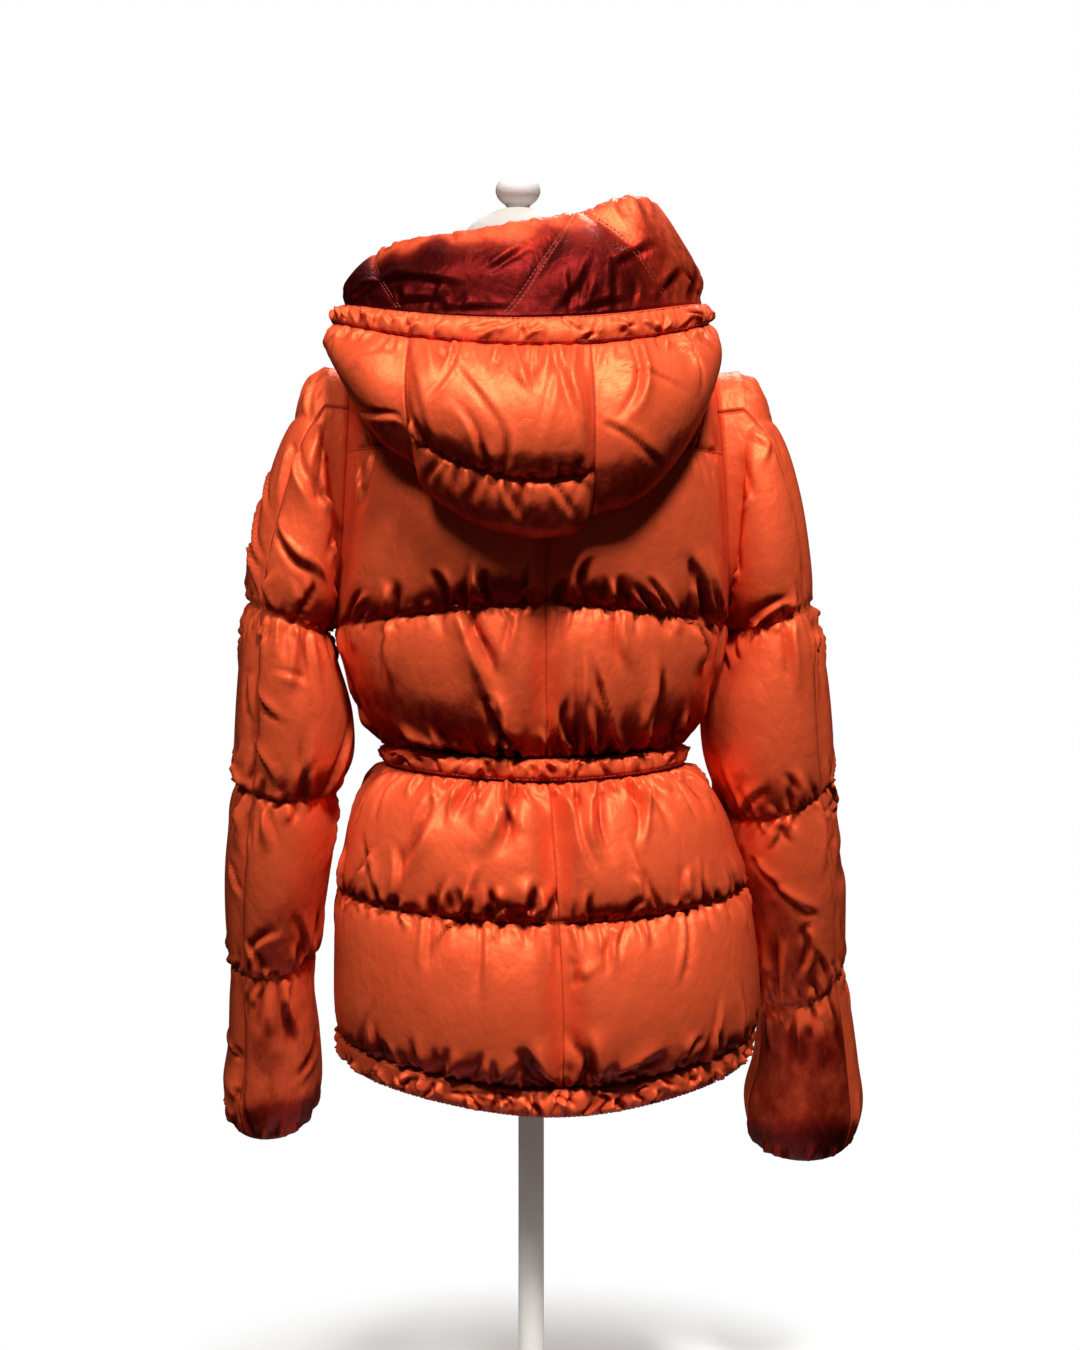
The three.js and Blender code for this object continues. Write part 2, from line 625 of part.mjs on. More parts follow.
// Slider and tab stand in a group that lies along the slope of the zip: Y out of the chest is -Y.
const zipSlope = Math.atan2(
  bodyPoint(Math.PI, SLIDER_Z + 8).y - bodyPoint(Math.PI, SLIDER_Z - 8).y,
  16,
);
const zipPlace = new THREE.Group();
zipPlace.position.set(0, bodyPoint(Math.PI, SLIDER_Z).y, SLIDER_Z);
zipPlace.rotation.x = -zipSlope;
jacket.add(zipPlace);

const wasm = await Module();
wasm.setup();

/** Join closed geometries that touch or overlap into one. */
function joined(parts) {
  const whole = parts.map((part) => {
    const geometry = part.clone();
    geometry.deleteAttribute('normal');
    geometry.deleteAttribute('uv');
    const merged = mergeVertices(geometry);
    return new wasm.Manifold(new wasm.Mesh({
      numProp: 3,
      vertProperties: new Float32Array(merged.attributes.position.array),
      triVerts: new Uint32Array(merged.index.array),
    }));
  }).reduce((sum, part) => sum.add(part));
  const mesh = whole.getMesh();
  const geometry = new THREE.BufferGeometry();
  geometry.setAttribute('position', new THREE.Float32BufferAttribute(mesh.vertProperties, 3));
  geometry.setIndex(Array.from(mesh.triVerts));
  return geometry;
}

/** Box of the given sizes with its middle at a point. */
function block(width, depth, height, x, y, z) {
  return new THREE.BoxGeometry(width, depth, height).translate(x, y, z);
}

const SLIDER_WIDTH = 10;
const SLIDER_LENGTH = 14;
const SLIDER_DEPTH = 2.4;
const LUG_WIDTH = 3;
const LUG_RADIUS = 2.6;
const EYE_RADIUS = 1.3;
const BAR_RADIUS = 0.8;
const AXIS_OUT = 1.8; // the tab's axis stands this far in front of the slider's face
const sliderFace = TAPE_SINK - 0.3 - SLIDER_DEPTH;
const axisY = sliderFace - AXIS_OUT;

/** Lug on the slider's face, with the round eye that the tab's bar turns in. */
function sliderLug() {
  const outline = new THREE.Shape();
  outline.moveTo(sliderFace + 0.5, -LUG_RADIUS);
  outline.lineTo(axisY, -LUG_RADIUS);
  outline.absarc(axisY, 0, LUG_RADIUS, -Math.PI / 2, Math.PI / 2, true);
  outline.lineTo(sliderFace + 0.5, LUG_RADIUS);
  outline.closePath();
  const eye = new THREE.Path();
  eye.absarc(axisY, 0, EYE_RADIUS, 0, 2 * Math.PI, false);
  outline.holes.push(eye);
  const lug = new THREE.ExtrudeGeometry(outline, { depth: LUG_WIDTH, bevelEnabled: false, curveSegments: 5 });
  lug.translate(0, 0, -LUG_WIDTH / 2);
  return lug.applyMatrix4(new THREE.Matrix4().set(0, 0, 1, 0, 1, 0, 0, 0, 0, 1, 0, 0, 0, 0, 0, 1));
}

const slider = new THREE.Mesh(joined([
  block(SLIDER_WIDTH, SLIDER_DEPTH, SLIDER_LENGTH, 0, sliderFace + SLIDER_DEPTH / 2, 0),
  sliderLug(),
]), metal);
slider.name = 'zip_slider';
zipPlace.add(slider);

const railWidth = (TAB_WIDTH - LUG_WIDTH) / 2 - 0.4;
const railX = (TAB_WIDTH - railWidth) / 2;
const RAIL_LENGTH = 6.5;
const bar = new THREE.CylinderGeometry(BAR_RADIUS, BAR_RADIUS, TAB_WIDTH - 0.2, 12).rotateZ(Math.PI / 2);
const tab = new THREE.Mesh(joined([
  bar.translate(0, axisY, 0),
  block(railWidth, TAB_THICKNESS, RAIL_LENGTH + BAR_RADIUS, railX, axisY, (BAR_RADIUS - RAIL_LENGTH) / 2),
  block(railWidth, TAB_THICKNESS, RAIL_LENGTH + BAR_RADIUS, -railX, axisY, (BAR_RADIUS - RAIL_LENGTH) / 2),
  block(TAB_WIDTH, TAB_THICKNESS, TAB_LENGTH - RAIL_LENGTH + 1, 0, axisY, 0.5 - (TAB_LENGTH + RAIL_LENGTH) / 2),
]), metal);
tab.name = 'zip_pull_tab';
zipPlace.add(tab);

// Dress form: a smooth torso in one piece with its neck, a cap, a knob, a pole and a base.
// Inset is the clearance to the jacket's lining, less at the shoulders, which carry it.
const FORM = table(['z', 'inset'], [
  [FORM_BOTTOM_Z, 4],
  [400, 6],
  [450, 6],
  [490, 5],
  [530, 5],
  [570, 5],
  [590, 5],
  [612, 6],
  [645, 6],
  [707, 4],
  [770, 4],
  [820, 4],
]);
const FORM_SHOULDERS = table(['up', 'inset'], [
  [0, 4],
  [0.2, 4],
  [0.4, 3.5],
  [0.6, 2.6],
  [0.8, 1.7],
  [1, 0.8],
]);
const FORM_ANGLES = [
  ...Array.from({ length: 14 }, (_, i) => -90 + (i * 90) / 7),
  ...Array.from({ length: 12 }, (_, i) => 90 + (i * 90) / 6),
].map((angle) => angle * DEG);

/** Ring of the form's torso inside the jacket, at a height that may change round it. */
function torsoRing(heightAt, inset) {
  return FORM_ANGLES.map((angle) => {
    const at = (u, v) => bodyPoint(angle + 0.1 * (u - 0.5), heightAt(angle) + 12 * (v - 0.5));
    return bodyPoint(angle, heightAt(angle)).addScaledVector(outward(at, 0.5, 0.5, -1), -WALL - inset);
  });
}

/** Ring of the form's neck, which leans to its left as it rises and is lower in front. */
function neckRing(z, radius, frontDrop) {
  const lean = NECK_X * smooth((z - 940) / 50);
  return FORM_ANGLES.map((angle) => new THREE.Vector3(
    lean + radius * Math.sin(angle),
    radius * Math.cos(angle),
    z - frontDrop * (1 - Math.cos(angle)) * 0.5,
  ));
}

add('form_torso', loft([
  ...FORM.map(({ z, inset }) => torsoRing(() => z, inset).map((point) => point.setZ(z))),
  ...FORM_SHOULDERS.map(({ up, inset }) => torsoRing(
    (angle) => lerp(lineHeight(LINES.yokeQuilt, angle), lineHeight(LINES.neck, angle), up),
    inset,
  )),
  neckRing(962, 51, 38),
  neckRing(975, 49, 20),
  neckRing(1000, NECK_RADIUS, 0),
  neckRing(NECK_TOP_Z, NECK_RADIUS, 0),
]), formCloth);

/** Turned solid about the vertical at the neck's lean, from a profile of radius and height. */
function turned(profile, x, segments) {
  const points = profile.map(([radius, z]) => new THREE.Vector2(radius, z));
  return new THREE.LatheGeometry(points, segments).rotateX(Math.PI / 2).translate(x, 0, 0);
}

const capBase = NECK_TOP_Z + 2 * HALF_GAP;
add('form_neck_cap', turned([
  [0, capBase],
  [NECK_RADIUS, capBase],
  [NECK_RADIUS + 1.5, capBase + 3],
  [NECK_RADIUS - 1, capBase + 8],
  [NECK_RADIUS - 6, capBase + 15],
  [NECK_RADIUS - 15, capBase + 22],
  [NECK_RADIUS - 27, capBase + 27],
  [16, capBase + CAP_RISE],
  [0, capBase + CAP_RISE],
], NECK_X, 24), formCloth);

const knobBase = capBase + CAP_RISE + 2 * HALF_GAP;
const knobMiddle = knobBase + 0.52 * KNOB_HEIGHT;
const knobProfile = Array.from({ length: 8 }, (_, i) => {
  const turn = lerp(-60, 80, i / 7) * DEG;
  return [KNOB_RADIUS * Math.cos(turn), knobMiddle + 0.48 * KNOB_HEIGHT * Math.sin(turn)];
});
add('form_knob', turned([
  [0, knobBase],
  [0.5 * KNOB_RADIUS, knobBase],
  ...knobProfile,
  [0, knobBase + KNOB_HEIGHT],
], NECK_X, 20), formWood);

add('form_pole', turned([
  [0, BASE_HEIGHT + 0.3],
  [POLE_RADIUS, BASE_HEIGHT + 0.3],
  [POLE_RADIUS, FORM_BOTTOM_Z - 0.3],
  [0, FORM_BOTTOM_Z - 0.3],
], 0, 16), formWood);

add('form_base', turned([
  [0, 0],
  [BASE_RADIUS - 3, 0],
  [BASE_RADIUS, 3],
  [BASE_RADIUS, 11],
  [BASE_RADIUS - 5, 15],
  [BASE_RADIUS - 40, BASE_HEIGHT - 2],
  [26, BASE_HEIGHT],
  [0, BASE_HEIGHT],
], 0, 32), formWood);

export default jacket;
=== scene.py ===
"""Looks of a hooded puffer jacket, zipped up on a limbless dress form, seen from behind.

Sizes are in millimetres until a mesh is written, with +Z up. The front of the jacket faces -Y
and +X is the wearer's left.
"""

import logging
import math
from dataclasses import dataclass
from enum import Enum
from typing import Callable, Optional, Sequence, Union

import bmesh
import bpy
import numpy as np
from mathutils import Matrix, Vector


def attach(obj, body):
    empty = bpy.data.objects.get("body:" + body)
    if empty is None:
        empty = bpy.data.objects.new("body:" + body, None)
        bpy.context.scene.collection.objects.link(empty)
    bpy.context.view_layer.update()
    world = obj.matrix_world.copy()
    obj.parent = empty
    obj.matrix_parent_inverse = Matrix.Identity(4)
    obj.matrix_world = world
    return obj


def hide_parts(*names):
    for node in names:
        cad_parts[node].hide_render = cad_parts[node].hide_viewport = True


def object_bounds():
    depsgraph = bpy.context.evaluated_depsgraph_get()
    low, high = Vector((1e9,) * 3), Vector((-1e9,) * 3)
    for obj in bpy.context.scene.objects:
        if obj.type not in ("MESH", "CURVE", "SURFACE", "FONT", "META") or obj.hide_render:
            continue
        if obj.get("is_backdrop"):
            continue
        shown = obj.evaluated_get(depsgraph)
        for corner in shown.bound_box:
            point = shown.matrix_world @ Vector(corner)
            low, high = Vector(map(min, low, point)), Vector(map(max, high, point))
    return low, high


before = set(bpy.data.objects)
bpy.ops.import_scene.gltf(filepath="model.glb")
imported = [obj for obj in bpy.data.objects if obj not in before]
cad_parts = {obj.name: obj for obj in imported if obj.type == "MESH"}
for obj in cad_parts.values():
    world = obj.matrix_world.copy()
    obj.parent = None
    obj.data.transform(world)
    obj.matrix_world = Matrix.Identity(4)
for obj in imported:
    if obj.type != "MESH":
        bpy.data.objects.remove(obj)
CAD_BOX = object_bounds()

LOG = logging.getLogger("puffer_jacket")
MM = 0.001
DEG = math.pi / 180
# Vertex attribute that holds the cloth's painted shade.
PAINTED_SHADE_ATTRIBUTE = "painted_fold_shade"
JACKET = "jacket"
PULL_TAB = "pull_tab"

Array = np.ndarray
Surface = Callable[[Array, Array], Array]


# Reading sizes


@dataclass(frozen=True)
class Table:
    """Rows of sizes with named columns, read along the first one."""

    columns: tuple[str, ...]
    rows: tuple[tuple[float, ...], ...]

    def column(self, name: str) -> Array:
        """Return one column as an array."""
        return np.array([row[self.columns.index(name)] for row in self.rows], dtype=float)

    def read(self, name: str, value: Array) -> Array:
        """Read a column on a smooth curve through its rows.

        Args:
            name: The column to read.
            value: Values of the first column, held to its first and last row.

        Returns:
            The column's value at each of them.
        """
        key = self.column(self.columns[0])
        data = self.column(name)
        last = len(key) - 1
        after = np.minimum(np.arange(last + 1) + 1, last)
        before = np.maximum(np.arange(last + 1) - 1, 0)
        slope = (data[after] - data[before]) / (key[after] - key[before])
        i = np.clip(np.searchsorted(key, value, side="left") - 1, 0, last - 1)
        span = key[i + 1] - key[i]
        t = np.clip((value - key[i]) / span, 0, 1)
        t2, t3 = t * t, t * t * t
        return (
            (2 * t3 - 3 * t2 + 1) * data[i]
            + (t3 - 2 * t2 + t) * span * slope[i]
            + (3 * t2 - 2 * t3) * data[i + 1]
            + (t3 - t2) * span * slope[i + 1]
        )


def lerp(a: Union[float, Array], b: Union[float, Array], t: Union[float, Array]) -> Array:
    """Return the value between a and b at the fraction t."""
    return a + (b - a) * t


def smooth(t: Array) -> Array:
    """Return an even ramp from 0 at 0 to 1 at 1."""
    t = np.clip(t, 0, 1)
    return t * t * (3 - 2 * t)


def pillow(t: Array, power: float = 0.6) -> Array:
    """Return the height of a filled baffle between two stitched lines, 1 in its middle."""
    t = np.clip(t, 0, 1)
    return (4 * t * (1 - t)) ** power


def softened(values: Array) -> Array:
    """Return a grid's values blended a little with their neighbours'."""
    for axis in (0, 1):
        ends = np.pad(values, [(1, 1) if axis == each else (0, 0) for each in (0, 1)], mode="edge")
        before, after = (ends[:-2], ends[2:]) if axis == 0 else (ends[:, :-2], ends[:, 2:])
        values = 0.5 * values + 0.25 * (before + after)
    return values


def sagging(t: Array, power: float = 0.60) -> Array:
    """Return the height of a filled baffle whose down has sunk, fullest under its middle."""
    return pillow(np.clip(t, 0, 1) ** 0.85, power)


def stack(x: Array, y: Array, z: Array) -> Array:
    """Return points from their three coordinates."""
    return np.stack(np.broadcast_arrays(x, y, z), axis=-1)


def shares(lengths: Sequence[float]) -> Array:
    """Return where lengths laid end to end start and end, in parts of the whole."""
    return np.concatenate([[0], np.cumsum(lengths)]) / sum(lengths)


def drawn_in(t: Array, depth: float, reach: float) -> Array:
    """Return the part of a loft that is left near a seam at 0, which draws it in by a depth."""
    return 1 - depth * np.exp(-((t / reach) ** 2))


def outward(at: Surface, u: Array, v: Array, sign: float) -> Array:
    """Return the unit direction out of a surface, by small steps along it.

    Args:
        at: The surface, from two fractions to points.
        u: Fractions across.
        v: Fractions up.
        sign: 1 where across and up turn outwards, or -1.

    Returns:
        A direction for each point.
    """
    h = 2e-3
    du = at(np.minimum(u + h, 1), v) - at(np.maximum(u - h, 0), v)
    dv = at(u, np.minimum(v + h, 1)) - at(u, np.maximum(v - h, 0))
    normal = np.cross(du, dv) * sign
    return normal / np.linalg.norm(normal, axis=-1, keepdims=True)


# Shader nodes


@dataclass
class Nodes:
    """One material's nodes, with short calls to add and join them."""

    material: bpy.types.Material

    @classmethod
    def new(cls, name: str) -> "Nodes":
        """Return an empty material's nodes, with its output and a Principled shader."""
        material = bpy.data.materials.new(name)
        material.use_nodes = True
        return cls(material)

    @property
    def tree(self) -> bpy.types.NodeTree:
        """Return the material's node tree."""
        return self.material.node_tree

    @property
    def surface(self) -> bpy.types.Node:
        """Return the Principled shader."""
        return self.tree.nodes["Principled BSDF"]

    def join(self, value: object, socket: bpy.types.NodeSocket) -> None:
        """Link a signal or socket to an input, or set a plain value there."""
        if isinstance(value, Signal):
            value = value.socket
        if isinstance(value, bpy.types.NodeSocket):
            self.tree.links.new(value, socket)
        else:
            socket.default_value = value

    def signal(self, kind: str, output: Union[int, str], inputs: dict, **settings: object) -> "Signal":
        """Add a node and return one of its outputs as a signal.

        Args:
            kind: The node's type.
            output: The output's name or number.
            inputs: Input names or numbers, with sockets, signals or plain values.
            **settings: Settings of the node itself, which are set first.

        Returns:
            The output.
        """
        node = self.tree.nodes.new(kind)
        for key, value in settings.items():
            setattr(node, key, value)
        for key, value in inputs.items():
            self.join(value, node.inputs[key])
        return Signal(self, node.outputs[output])

    def place(self) -> "Signal":
        """Return the object's own coordinates."""
        return self.signal("ShaderNodeTexCoord", "Object", {})

    def mix(self, factor: object, a: object, b: object) -> "Signal":
        """Return a colour mixed from two."""
        a, b = (value if isinstance(value, Signal) else (*value, 1.0) for value in (a, b))
        return self.signal("ShaderNodeMix", 2, {0: factor, 6: a, 7: b}, data_type="RGBA")

    def noise(self, vector: object, scale: float, detail: float = 2.0, rough: float = 0.5) -> "Signal":
        """Return a noise of a scale in turns a metre."""
        inputs = {"Vector": vector, "Scale": scale, "Detail": detail, "Roughness": rough}
        return self.signal("ShaderNodeTexNoise", "Fac", inputs)

    def stretched(self, vector: object, scale: Sequence[float]) -> "Signal":
        """Return coordinates stretched along their axes."""
        return self.signal("ShaderNodeMapping", 0, {"Vector": vector, "Scale": scale})

    def bump(self, height: object, distance: float) -> None:
        """Raise the surface by a height, in metres at 1."""
        inputs = {"Height": height, "Distance": distance, "Strength": 1.0}
        self.join(self.signal("ShaderNodeBump", 0, inputs), self.surface.inputs["Normal"])

    def finish(self, **inputs: object) -> bpy.types.Material:
        """Fill the Principled shader's inputs, spaces as underscores, and return the material."""
        for key, value in inputs.items():
            self.join(value, self.surface.inputs[key.replace("_", " ")])
        return self.material


@dataclass
class Signal:
    """A node's output that can be counted with."""

    nodes: Nodes
    socket: bpy.types.NodeSocket

    def maths(self, operation: str, *others: object) -> "Signal":
        """Return the outcome of a Math node on this signal and others."""
        inputs = {0: self, **dict(enumerate(others, 1))}
        return self.nodes.signal("ShaderNodeMath", 0, inputs, operation=operation)

    def __add__(self, other: object) -> "Signal":
        """Return the sum."""
        return self.maths("ADD", other)

    def __mul__(self, other: object) -> "Signal":
        """Return the product."""
        return self.maths("MULTIPLY", other)

    def __sub__(self, other: object) -> "Signal":
        """Return the difference."""
        return self.maths("SUBTRACT", other)

    def __rsub__(self, other: object) -> "Signal":
        """Return the difference from a number."""
        return self.maths("MULTIPLY", -1.0).maths("ADD", other)

    __radd__ = __add__
    __rmul__ = __mul__

    def ramp(self, low: float, high: float) -> "Signal":
        """Return a smooth ramp from 0 at low to 1 at high."""
        inputs = {"Value": self, "From Min": low, "From Max": high}
        return self.nodes.signal("ShaderNodeMapRange", 0, inputs, interpolation_type="SMOOTHSTEP")


Colour = tuple[float, float, float]


def shaded(colour: Colour, part: float) -> Colour:
    """Return a colour at a part of its strength."""
    return tuple(part * channel for channel in colour)


@dataclass(frozen=True)
class SatinFinish:
    """Satin taffeta: orange where it lies flat, with a faint sheen and a fine cross rib, and a painted shade,
    deep red down to a near-black painted shadow, where it faces down, lies in a fold or meets a sewn line.
    """

    name: str
    light: Colour = (0.90, 0.118, 0.038)
    ground: Colour = (0.74, 0.080, 0.026)
    edge: Colour = (0.46, 0.055, 0.028)
    # Painted shade colour for folds and down-facing cloth, then a painted shadow colour where that shade is
    # deepest.
    deep: Colour = (0.25, 0.013, 0.006)
    painted_shadow: Colour = (0.055, 0.002, 0.002)
    roughness: float = 0.46
    metallic: float = 0.34
    gloss: float = 0.07
    crinkle: float = 0.0010
    cloud_scale: float = 22.0
    mottle_scale: float = 85.0
    mottle_reach: float = 0.55
    ridge_scale: float = 34.0
    lump_scale: float = 60.0
    crumple_scale: float = 90.0
    slub: tuple[float, float, float] = (160.0, 1500.0, 1.0)
    warp: tuple[float, float, float] = (1700.0, 200.0, 1.0)

    def material(self) -> bpy.types.Material:
        """Return the cloth's material."""
        nodes = Nodes.new(self.name)
        place = nodes.place()
        weave_place = nodes.signal("ShaderNodeUVMap", 0, {})
        facing = nodes.signal("ShaderNodeLayerWeight", "Facing", {"Blend": 0.5})
        cloud = nodes.noise(place, self.cloud_scale, 3.0).ramp(0.35, 0.75)
        colour = nodes.mix(cloud * 0.4, self.light, self.ground)
        colour = nodes.mix(facing.ramp(0.5, 1.0) * 0.5, colour, self.edge)
        # The painted shade attribute, mottled by noise, mixes in the painted shade colour and then the painted
        # shadow colour.
        folded = nodes.signal("ShaderNodeAttribute", "Fac", {}, attribute_name=PAINTED_SHADE_ATTRIBUTE)
        mottle = nodes.noise(nodes.stretched(place, (1.0, 1.0, 0.6)), self.mottle_scale, 4.0, 0.6)
        mottled_painted_shade = folded + mottle * self.mottle_reach - self.mottle_reach / 2
        colour = nodes.mix(mottled_painted_shade.ramp(0.18, 0.80), colour, self.deep)
        colour = nodes.mix(mottled_painted_shade.ramp(0.62, 1.35) * 0.92, colour, self.painted_shadow)
        slub = nodes.noise(nodes.stretched(weave_place, self.slub), 1.0)
        warp = nodes.noise(nodes.stretched(weave_place, self.warp), 1.0, 1.0)
        ridges = nodes.noise(nodes.stretched(place, (1.0, 1.0, 0.7)), self.ridge_scale, 3.0, 0.55) - 0.5
        crumples = nodes.noise(nodes.stretched(place, (1.0, 1.0, 0.45)), self.crumple_scale) - 0.5
        crumples = crumples.maths("ABSOLUTE") * (folded.ramp(0.0, 1.0) * 0.8 + 0.4)
        lumps = nodes.noise(place, self.lump_scale, 3.0)
        height = ridges.maths("ABSOLUTE") * 2.2 + crumples + lumps * 0.5 + slub * 0.09 + warp * 0.08
        nodes.bump(height, self.crinkle)
        rough = slub.ramp(0.2, 0.8) * 0.10 + (self.roughness - 0.05)
        nodes.surface.inputs["Specular IOR Level"].default_value = self.gloss
        metallic = mottled_painted_shade.ramp(0.30, 1.20) * 0.45 + self.metallic
        return nodes.finish(Base_Color=colour, Roughness=rough, Metallic=metallic)


@dataclass(frozen=True)
class ThreadFinish:
    """Sewing thread or zip tape: matt, with a fine twist."""

    name: str
    colour: Colour
    roughness: float = 0.7

    def material(self) -> bpy.types.Material:
        """Return the thread's material."""
        nodes = Nodes.new(self.name)
        place = nodes.place()
        twist = nodes.noise(place, 900.0, 2.0)
        colour = nodes.mix(twist, shaded(self.colour, 0.6), self.colour)
        nodes.bump(twist, 0.0003)
        return nodes.finish(Base_Color=colour, Roughness=self.roughness)


@dataclass(frozen=True)
class FormClothFinish:
    """Off-white jersey drawn over the form, with its fine knit and a little soiling."""

    name: str = "form_jersey"
    colour: Colour = (0.50, 0.47, 0.44)

    def material(self) -> bpy.types.Material:
        """Return the form cloth's material."""
        nodes = Nodes.new(self.name)
        place = nodes.place()
        weave = nodes.noise(nodes.stretched(place, (900.0, 900.0, 450.0)), 1.0, 2.0)
        stain = nodes.noise(place, 18.0, 4.0).ramp(0.35, 0.8)
        colour = nodes.mix(stain * 0.5, self.colour, shaded(self.colour, 0.86))
        nodes.bump(weave, 0.0005)
        return nodes.finish(Base_Color=colour, Roughness=0.9)


@dataclass(frozen=True)
class EnamelFinish:
    """Pale stove enamel with a faint orange-peel."""

    name: str = "form_enamel"
    colour: Colour = (0.78, 0.77, 0.75)
    roughness: float = 0.38
    peel: float = 0.00025

    def material(self) -> bpy.types.Material:
        """Return the enamel."""
        nodes = Nodes.new(self.name)
        place = nodes.place()
        peel = nodes.noise(place, 260.0, 2.0)
        wear = nodes.noise(place, 40.0, 4.0).ramp(0.45, 0.8)
        colour = nodes.mix(wear * 0.4, self.colour, shaded(self.colour, 0.9))
        nodes.bump(peel, self.peel)
        rough = wear * 0.15 + self.roughness
        return nodes.finish(Base_Color=colour, Roughness=rough)


@dataclass(frozen=True)
class ZipMetalFinish:
    """Brushed grey zip metal, darker where fingers don't rub it."""

    name: str = "zip_metal"
    colour: Colour = (0.36, 0.34, 0.33)

    def material(self) -> bpy.types.Material:
        """Return the metal."""
        nodes = Nodes.new(self.name)
        place = nodes.place()
        brush = nodes.noise(nodes.stretched(place, (3000.0, 3000.0, 300.0)), 1.0, 2.0)
        dull = nodes.noise(place, 300.0, 3.0).ramp(0.4, 0.7)
        colour = nodes.mix(dull * 0.5, self.colour, shaded(self.colour, 0.55))
        nodes.bump(brush, 0.00006)
        nodes.surface.inputs["Metallic"].default_value = 1.0
        return nodes.finish(Base_Color=colour, Roughness=brush * 0.2 + 0.22)


# Sewn shapes


@dataclass(frozen=True)
class Crease:
    """A fold of the cloth along a run: a ridge with a trough beside its steep side.

    start and end are the run's two ends in the panel's own two coordinates, width is the fold's
    half width and depth its height, negative where the trough comes first. bend is how far the run
    bows sideways, and lean which side of it is the steep one.
    """

    start: tuple[float, float]
    end: tuple[float, float]
    width: float
    depth: float
    bend: float = 0.0
    lean: float = 1.0


@dataclass(frozen=True)
class FoldForm:
    """The section and run of a fold, in parts of its half width and its length."""

    start_width: float = 0.65
    widening: float = 0.8
    least_cells: float = 1.6
    ridge_power: float = 1.25
    steep_side: float = 0.5
    trough_height: float = 0.8
    trough_place: float = 1.15
    trough_width: float = 0.6
    rise: float = 6.0
    start_height: float = 0.6
    fade: float = 1.7
    boost: float = 1.3

    def height(self, distance: Array, along: Array, width: float, cell: float) -> Array:
        """Return a fold's height, 1 on its ridge.

        Args:
            distance: Distances beside its run.
            along: Fractions along it.
            width: Its half width.
            cell: The size of the grid's cells.

        Returns:
            The heights.
        """
        place = distance / np.maximum(width * (self.start_width + self.widening * along), self.least_cells * cell)
        gentle = np.exp(-np.abs(place) ** self.ridge_power)
        ridge = np.where(place > 0, gentle, np.exp(-((place / self.steep_side) ** 2)))
        beside = (place + self.trough_place) / self.trough_width
        trough = self.trough_height * np.exp(-(beside**2))
        taper = np.clip(along * self.rise + self.start_height, 0, 1) * smooth((1 - along) * self.fade)
        return self.boost * (ridge - trough) * taper


@dataclass(frozen=True)
class PaintedFoldShade:
    """Painted shade: how far the cloth's colour is darkened where it faces down, in a trough and at a sewn line.
    """

    downward: float = 0.68
    least_slope: float = 0.14
    slope_reach: float = 0.26
    troughs: float = 0.50
    trough_depth: float = 2.5
    seam: float = 0.12
    seam_reach: float = 1.2
    most: float = 0.95

    def of(self, down: Array, moved: Array, stitched: Array) -> Array:
        """Return the painted shade.

        Args:
            down: How far each point faces down, from -1 to 1.
            moved: How far its folds lift it.
            stitched: Its distance from the nearest sewn line.

        Returns:
            Shades from 0 to most.
        """
        deep = self.downward * smooth((down - self.least_slope) / self.slope_reach)
        deep = deep + self.troughs * np.clip(-moved / self.trough_depth, 0, 1)
        return softened(np.clip(deep + self.seam * np.exp(-stitched / self.seam_reach), 0, self.most))


FOLD_FORM = FoldForm()
SHADE = PaintedFoldShade()
Run = Callable[[Array], tuple[Array, Array]]


def across(v: float) -> Run:
    """Return a run of stitches across a whole panel at a fraction up."""
    return lambda t: (t, 0 * t + v)


def upward(u: float, end: float) -> Run:
    """Return a run of stitches up a panel at a fraction across, to a fraction up."""
    return lambda t: (0 * t + u, t * end)


